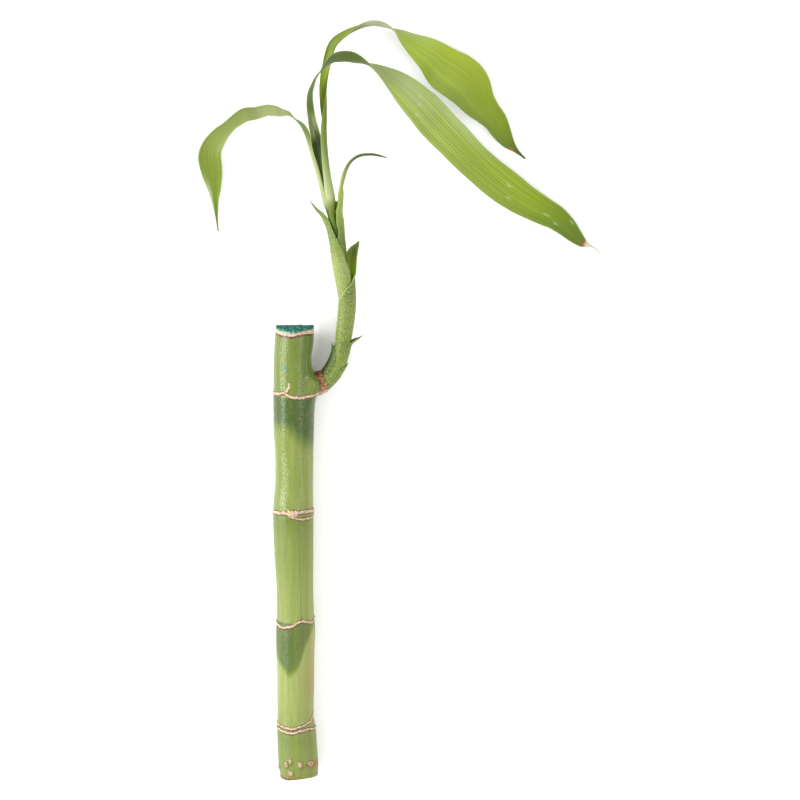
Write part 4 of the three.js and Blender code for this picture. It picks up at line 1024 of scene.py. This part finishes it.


# How each leaf looks: colours by millimetres along it, on its outer face and, where it has its own, its inner
# one; in some leaves these colours carry painted shade and painted highlight, as noted there. mottle is the
# strength of the pale flecks, contrast and lines that of the veins and furrows, rim and rim_width the
# strength and width of the pale margin, waver how far the margins wander, and step and columns how finely it
# is cut. The tint for painted shade, where a leaf gives one, colours its dark patches. A patch is soft: its
# kind, place along, place across from -1 to 1, size along, size across and strength. Dark patches are painted
# shade and sheen patches painted sheen; pale patches are painted highlight on the stalks of leaf_top and
# leaf_long and are only paler elsewhere; scratch and brown patches are the leaf's own marks.
LOOKS = {
    "scale_left": {
        "outer": ((0, "#44560e"), (8, "#465a0a"), (14, "#445808")),
        "patches": (("dark", 5, 0.0, 10, 0.6, 0.85),),
        "mottle": 0.35, "rim": 0.08, "step": 0.4, "painted_shade_tint": "#1c2c06",
    },
    "scale_right": {
        "outer": ((0, "#647626"), (8, "#5c6c1c"), (11, "#52660f")),
        "patches": (("pale", 10, 0, 2, 0.6, 0.2),),
        "mottle": 0.4, "rim": 0.15, "step": 0.4,
    },
    "bract_low": {
        "outer": (
            (0, "#66742a"), (6, "#6b792d"), (10, "#67742a"), (14, "#657324"), (18, "#5c6d19"),
            (22, "#50620c"),
        ),
        "patches": (("dark", 5, -0.95, 9, 0.22, 0.7),),
        "mottle": 0.42, "rim": 0.3, "columns": 40, "step": 0.4, "painted_shade_tint": "#2a3c08",
    },
    "bract_right": {
        "outer": (
            (0, "#5c6d12"), (8, "#60701e"), (14, "#617124"), (20, "#616f27"), (26, "#566320"),
            (30, "#4c600a"), (52, "#465a0a"),
        ),
        # Painted light: the inner face is painted a bright yellow-green up to about 41 mm, lighter than its
        # own colour, to lift the shade that falls on it there.
        "inner": (
            (0, "#b8da0c"), (33, "#b8da0c"), (37, "#a4c410"), (41, "#86980c"), (45, "#5a6c07"),
            (54, "#2e4607"),
        ),
        "mottle": 0.5, "rim": 0.9, "rim_width": 0.8, "columns": 40, "step": 0.5,
    },
    "bract_left": {
        "outer": (
            (0, "#586f1a"), (6, "#727e38"), (20, "#7c8844"), (26, "#667424"), (32, "#52640f"),
            (42, "#54640f"), (50, "#46560f"),
        ),
        "mottle": 0.48, "rim": 0.2, "columns": 40, "step": 0.5,
    },
    "leaf_small": {
        "outer": (
            (0, "#4a5a10"), (12, "#4f5e16"), (20, "#647428"), (27, "#7a8b3c"), (36, "#7c8b3e"),
            (42, "#76853e"), (47, "#5a6a2a"), (53, "#38460f"), (62, "#2a360c"),
        ),
        # Painted light: the inner face is painted a bright yellow-green up to about 24 mm, lighter than its
        # own colour, to lift the shade in the sheath's throat.
        "inner": ((0, "#b4cc10"), (24, "#b4cc10"), (32, "#6c7e2c"), (62, "#2a360c")),
        "mottle": 0.25, "rim": 0.2, "columns": 32, "step": 0.5,
    },
    "leaf_left": {
        "outer": (
            # Painted shade and painted highlight: the stalk is painted dark up to about 12 mm, where it lies
            # in shade inside the sheaths, then pale above, its own young colour with a painted highlight on
            # it.
            (0, "#465610"), (12, "#42501a"), (16.5, "#929a69"), (34, "#979f70"), (41, "#8f9860"),
            (48, "#5e6e34"), (58, "#4e5e26"), (141, "#566a18"),
        ),
        "inner": (
            (0, "#67783f"), (58, "#808a55"), (66, "#858e5b"), (75, "#6b7540"), (84, "#697538"),
            (98, "#6e7b34"), (106, "#677524"), (121, "#5f7216"), (141, "#4c5c10"),
        ),
        "patches": (("pale", 126, -0.85, 8, 0.35, 0.8), ("dark", 139, 0, 8, 2, 0.6)),
        "contrast": 0.14, "lines": 0.18, "waver": 0.25,
    },
    "leaf_top": {
        "outer": (
            # Painted shade and painted highlight: the stalk is painted dark up to about 12 mm, where it lies
            # in shade inside the sheaths, then pale above, its own young colour with a painted highlight on
            # it.
            (0, "#5a700d"), (5, "#4d6107"), (12, "#4b5d08"), (15, "#5f6c24"), (18.5, "#939b6a"),
            (26, "#87935b"), (34, "#6c7735"), (40, "#5e6d27"), (54, "#566a17"), (80, "#62750d"),
            (94, "#556430"), (101, "#778052"), (106, "#93987c"), (113, "#898f6a"), (130, "#66772a"),
            (203, "#4c5c10"),
        ),
        "inner": (
            (0, "#859158"), (50, "#5e6e1d"), (60, "#7b8c16"), (66, "#6e800a"), (80, "#66780e"),
            (86, "#55660f"), (100, "#6e7c2c"), (118, "#7f8f28"), (130, "#8d9e33"), (140, "#7e8f1f"),
            (150, "#7b8b23"), (160, "#708018"), (180, "#62730c"), (188, "#566807"), (195, "#3c4c07"),
            (203, "#2f3d08"),
        ),
        "patches": (
            ("dark", 168, -0.85, 34, 0.3, 0.5), ("sheen", 124, 0.85, 9, 0.3, 0.5),
            ("brown", 193.2, -0.7, 1.3, 0.5, 1.0), ("pale", 28, -0.75, 13, 0.35, 0.25),
            ("dark", 28, 0.75, 16, 0.4, 0.5),
        ),
        "painted_shade_tint": "#4a6200", "lines": 0.1, "rim": 0.05, "waver": 0.3, "step": 0.9,
    },
    "leaf_long": {
        "outer": (
            (0, "#4e5c22"), (15, "#536723"), (28, "#566a20"), (60, "#4a5a12"), (66, "#3f5119"),
            (74, "#5a664e"), (80, "#58664e"), (87, "#505f2c"), (95, "#425412"), (101, "#465817"),
            (108, "#5c6c2c"), (240, "#4c5c10"),
        ),
        # Painted shade and painted highlight: the inner face is painted dark from 34 to 46 mm, where the
        # stalk lies in shade between the others, and pale from 46.5 to 55 mm as a highlight.
        "inner": (
            (0, "#4a5c16"), (34, "#3c4c12"), (38, "#2a3a0a"), (43, "#243406"), (46.5, "#4c5c22"),
            (51, "#7d8659"), (55, "#6a7645"), (60, "#3e4c16"), (66, "#3a4a0d"), (72, "#38460d"),
            (78, "#42520f"), (104, "#87935a"), (112, "#929b5b"), (123, "#97a84c"), (142, "#83943a"),
            (150, "#849636"), (169, "#778823"), (187, "#788a20"), (201, "#738513"), (214, "#5c7407"),
            (222, "#526607"), (229, "#4e6207"), (230.5, "#6b4209"), (232, "#bbb19e"), (240, "#9f8a67"),
        ),
        "patches": (
            ("pale", 53, -0.1, 3, 0.22, 0.4), ("pale", 48.4, 0.3, 2.4, 0.16, 0.6),
            ("sheen", 122, 0.4, 16, 0.7, 0.5), ("sheen", 146, 0.85, 24, 0.35, 0.45),
            ("dark", 210, -0.7, 22, 0.35, 0.35), ("scratch", 131, 0.3, 1.0, 0.064, 0.4),
            ("scratch", 133, -0.05, 1.0, 0.08, 0.35), ("scratch", 135.4, -0.55, 1.0, 0.064, 0.45),
            ("scratch", 188, 0.19, 1.1, 0.04, 0.5), ("scratch", 191, -0.4, 1.1, 0.04, 0.5),
            ("scratch", 209, -0.14, 1.3, 0.04, 0.6), ("scratch", 215, -0.42, 1.2, 0.048, 0.6),
            ("scratch", 220, 0.7, 1.2, 0.056, 0.5),
        ),
        "contrast": 0.17, "lines": 0.32, "waver": 0.3, "step": 0.6, "columns": 30,
    },
}
SHEATHS = ("scale_left", "scale_right", "bract_low", "bract_right", "bract_left")
BLADES = ("leaf_small", "leaf_left", "leaf_top", "leaf_long")


class MakeSheaths(bpy.types.Operator):
    """Model the scales and the bracts that wrap the shoot"""

    bl_idname = "lucky_bamboo.make_sheaths"
    bl_label = "Sheaths"

    def execute(self, context):
        thickness = context.scene.plant_sizes.leaf_thickness / MM
        for name in SHEATHS:
            obj = make_leaf(name, LOOKS[name], thickness)
            declare(obj, leaf_material(name, LOOKS[name]), "sheath_green", name)
        return {"FINISHED"}


class MakeLeaves(bpy.types.Operator):
    """Model the leaves"""

    bl_idname = "lucky_bamboo.make_leaves"
    bl_label = "Leaves"

    def execute(self, context):
        thickness = context.scene.plant_sizes.leaf_thickness / MM
        for name in BLADES:
            obj = make_leaf(name, LOOKS[name], thickness)
            slot = "sheath_green" if name == "leaf_small" else "leaf_green"
            declare(obj, leaf_material(name, LOOKS[name]), slot, name)
        return {"FINISHED"}


class MakeStage(bpy.types.Operator):
    """Set up the floor, the lights and the camera"""

    bl_idname = "lucky_bamboo.make_stage"
    bl_label = "Stage"

    def execute(self, context):
        scene = context.scene
        studio = scene.studio
        bpy.ops.object.select_all(action="DESELECT")
        bpy.ops.mesh.primitive_plane_add(size=6, location=(0, 0, -0.0002))
        floor = context.object
        floor.name = "studio_floor"
        # Painted board, rolled: matt and nearly white, with the faintest unevenness.
        material, tree = new_material("painted_board_rolled")
        place_on = add(tree, "TexCoord").outputs["Object"]
        cloud = add(tree, "TexNoise", {"Vector": place_on, "Scale": 3.0}).outputs["Fac"]
        shade = add(tree, "MapRange", {0: cloud, 3: 0.98, 4: 1.0}).outputs[0]
        colour = add(tree, "HueSaturation", {"Color": (*studio.floor_colour, 1), "Value": shade}).outputs[0]
        shader = add(
            tree, "BsdfPrincipled", {"Base Color": colour, "Roughness": 0.9, "Specular IOR Level": 0.1}
        )
        add(tree, "OutputMaterial", {"Surface": shader.outputs[0]})
        floor.data.materials.append(material)
        # The middle of each light is this far along +Y, which is past the plant's upper end.
        lights_along = 0.36
        # Each light: name, power, degrees from straight up towards +X, distance, width and length.
        lights = (
            ("key_strip", studio.key_watts, -65, 1.25, 0.55, 1.5),
            ("fill_strip", studio.fill_watts, 36, 1.35, 0.22, 1.5),
        )
        for name, watts, lean, distance, width, length in lights:
            turn = math.radians(lean)
            bpy.ops.object.light_add(
                type="AREA", location=(distance * math.sin(turn), lights_along, distance * math.cos(turn)),
                rotation=(0, turn, 0),
            )
            light = context.object
            light.name = name
            light.data.energy = watts
            light.data.shape = "RECTANGLE"
            light.data.size = width
            light.data.size_y = length
        world = bpy.data.worlds.new("studio_room")
        scene.world = world
        world.use_nodes = True
        room = world.node_tree.nodes["Background"]
        room.inputs["Color"].default_value = (1, 1, 1, 1)
        room.inputs["Strength"].default_value = studio.room_light
        scene.view_settings.view_transform = "Standard"
        # The photo's field is 352 mm wide at the plant, and its middle lies at this place across and up.
        field, across, up = 0.352, 46.64, 164.8
        target = Vector((place(across, up, SHOOT_LIFT) - (*FOOTPRINT_MIDDLE, 0)) * MM)
        back = Vector((0, math.sin(LOOK_DOWN), math.cos(LOOK_DOWN)))
        bpy.ops.object.camera_add(location=target + back * studio.camera_distance)
        camera = context.object
        camera.name = "photo_camera"
        camera.rotation_mode = "XYZ"
        camera.rotation_euler = (-LOOK_DOWN, 0, 0)
        camera.data.lens = camera.data.sensor_width * studio.camera_distance / field
        camera.data.clip_start, camera.data.clip_end = 0.1, 20
        scene.camera = camera
        return {"FINISHED"}


MAKERS = (MakeStage, MakeCane, MakeWax, MakeCollar, MakeStem, MakeSheaths, MakeLeaves)


class PlantPanel(bpy.types.Panel):
    """Lists the makers of the plant and its stage"""

    bl_idname = "VIEW3D_PT_lucky_bamboo"
    bl_label = "Lucky Bamboo"
    bl_space_type = "VIEW_3D"
    bl_region_type = "UI"
    bl_category = "Lucky Bamboo"

    def draw(self, context):
        for group in (context.scene.plant_sizes, context.scene.studio):
            for key in group.__annotations__:
                self.layout.prop(group, key)
        for maker in MAKERS:
            self.layout.operator(maker.bl_idname)


CLASSES = (PlantSizes, StudioSettings, *MAKERS, PlantPanel)


def register():
    for cls in CLASSES:
        bpy.utils.register_class(cls)
    bpy.types.Scene.plant_sizes = bpy.props.PointerProperty(type=PlantSizes)
    bpy.types.Scene.studio = bpy.props.PointerProperty(type=StudioSettings)


def unregister():
    del bpy.types.Scene.studio
    del bpy.types.Scene.plant_sizes
    for cls in reversed(CLASSES):
        bpy.utils.unregister_class(cls)


def main():
    register()
    bpy.ops.lucky_bamboo.make_stage()
    bpy.ops.lucky_bamboo.make_cane()
    bpy.ops.lucky_bamboo.make_wax()
    bpy.ops.lucky_bamboo.make_collar()
    bpy.ops.lucky_bamboo.make_stem()
    bpy.ops.lucky_bamboo.make_sheaths()
    bpy.ops.lucky_bamboo.make_leaves()


if __name__ == "__main__":
    main()
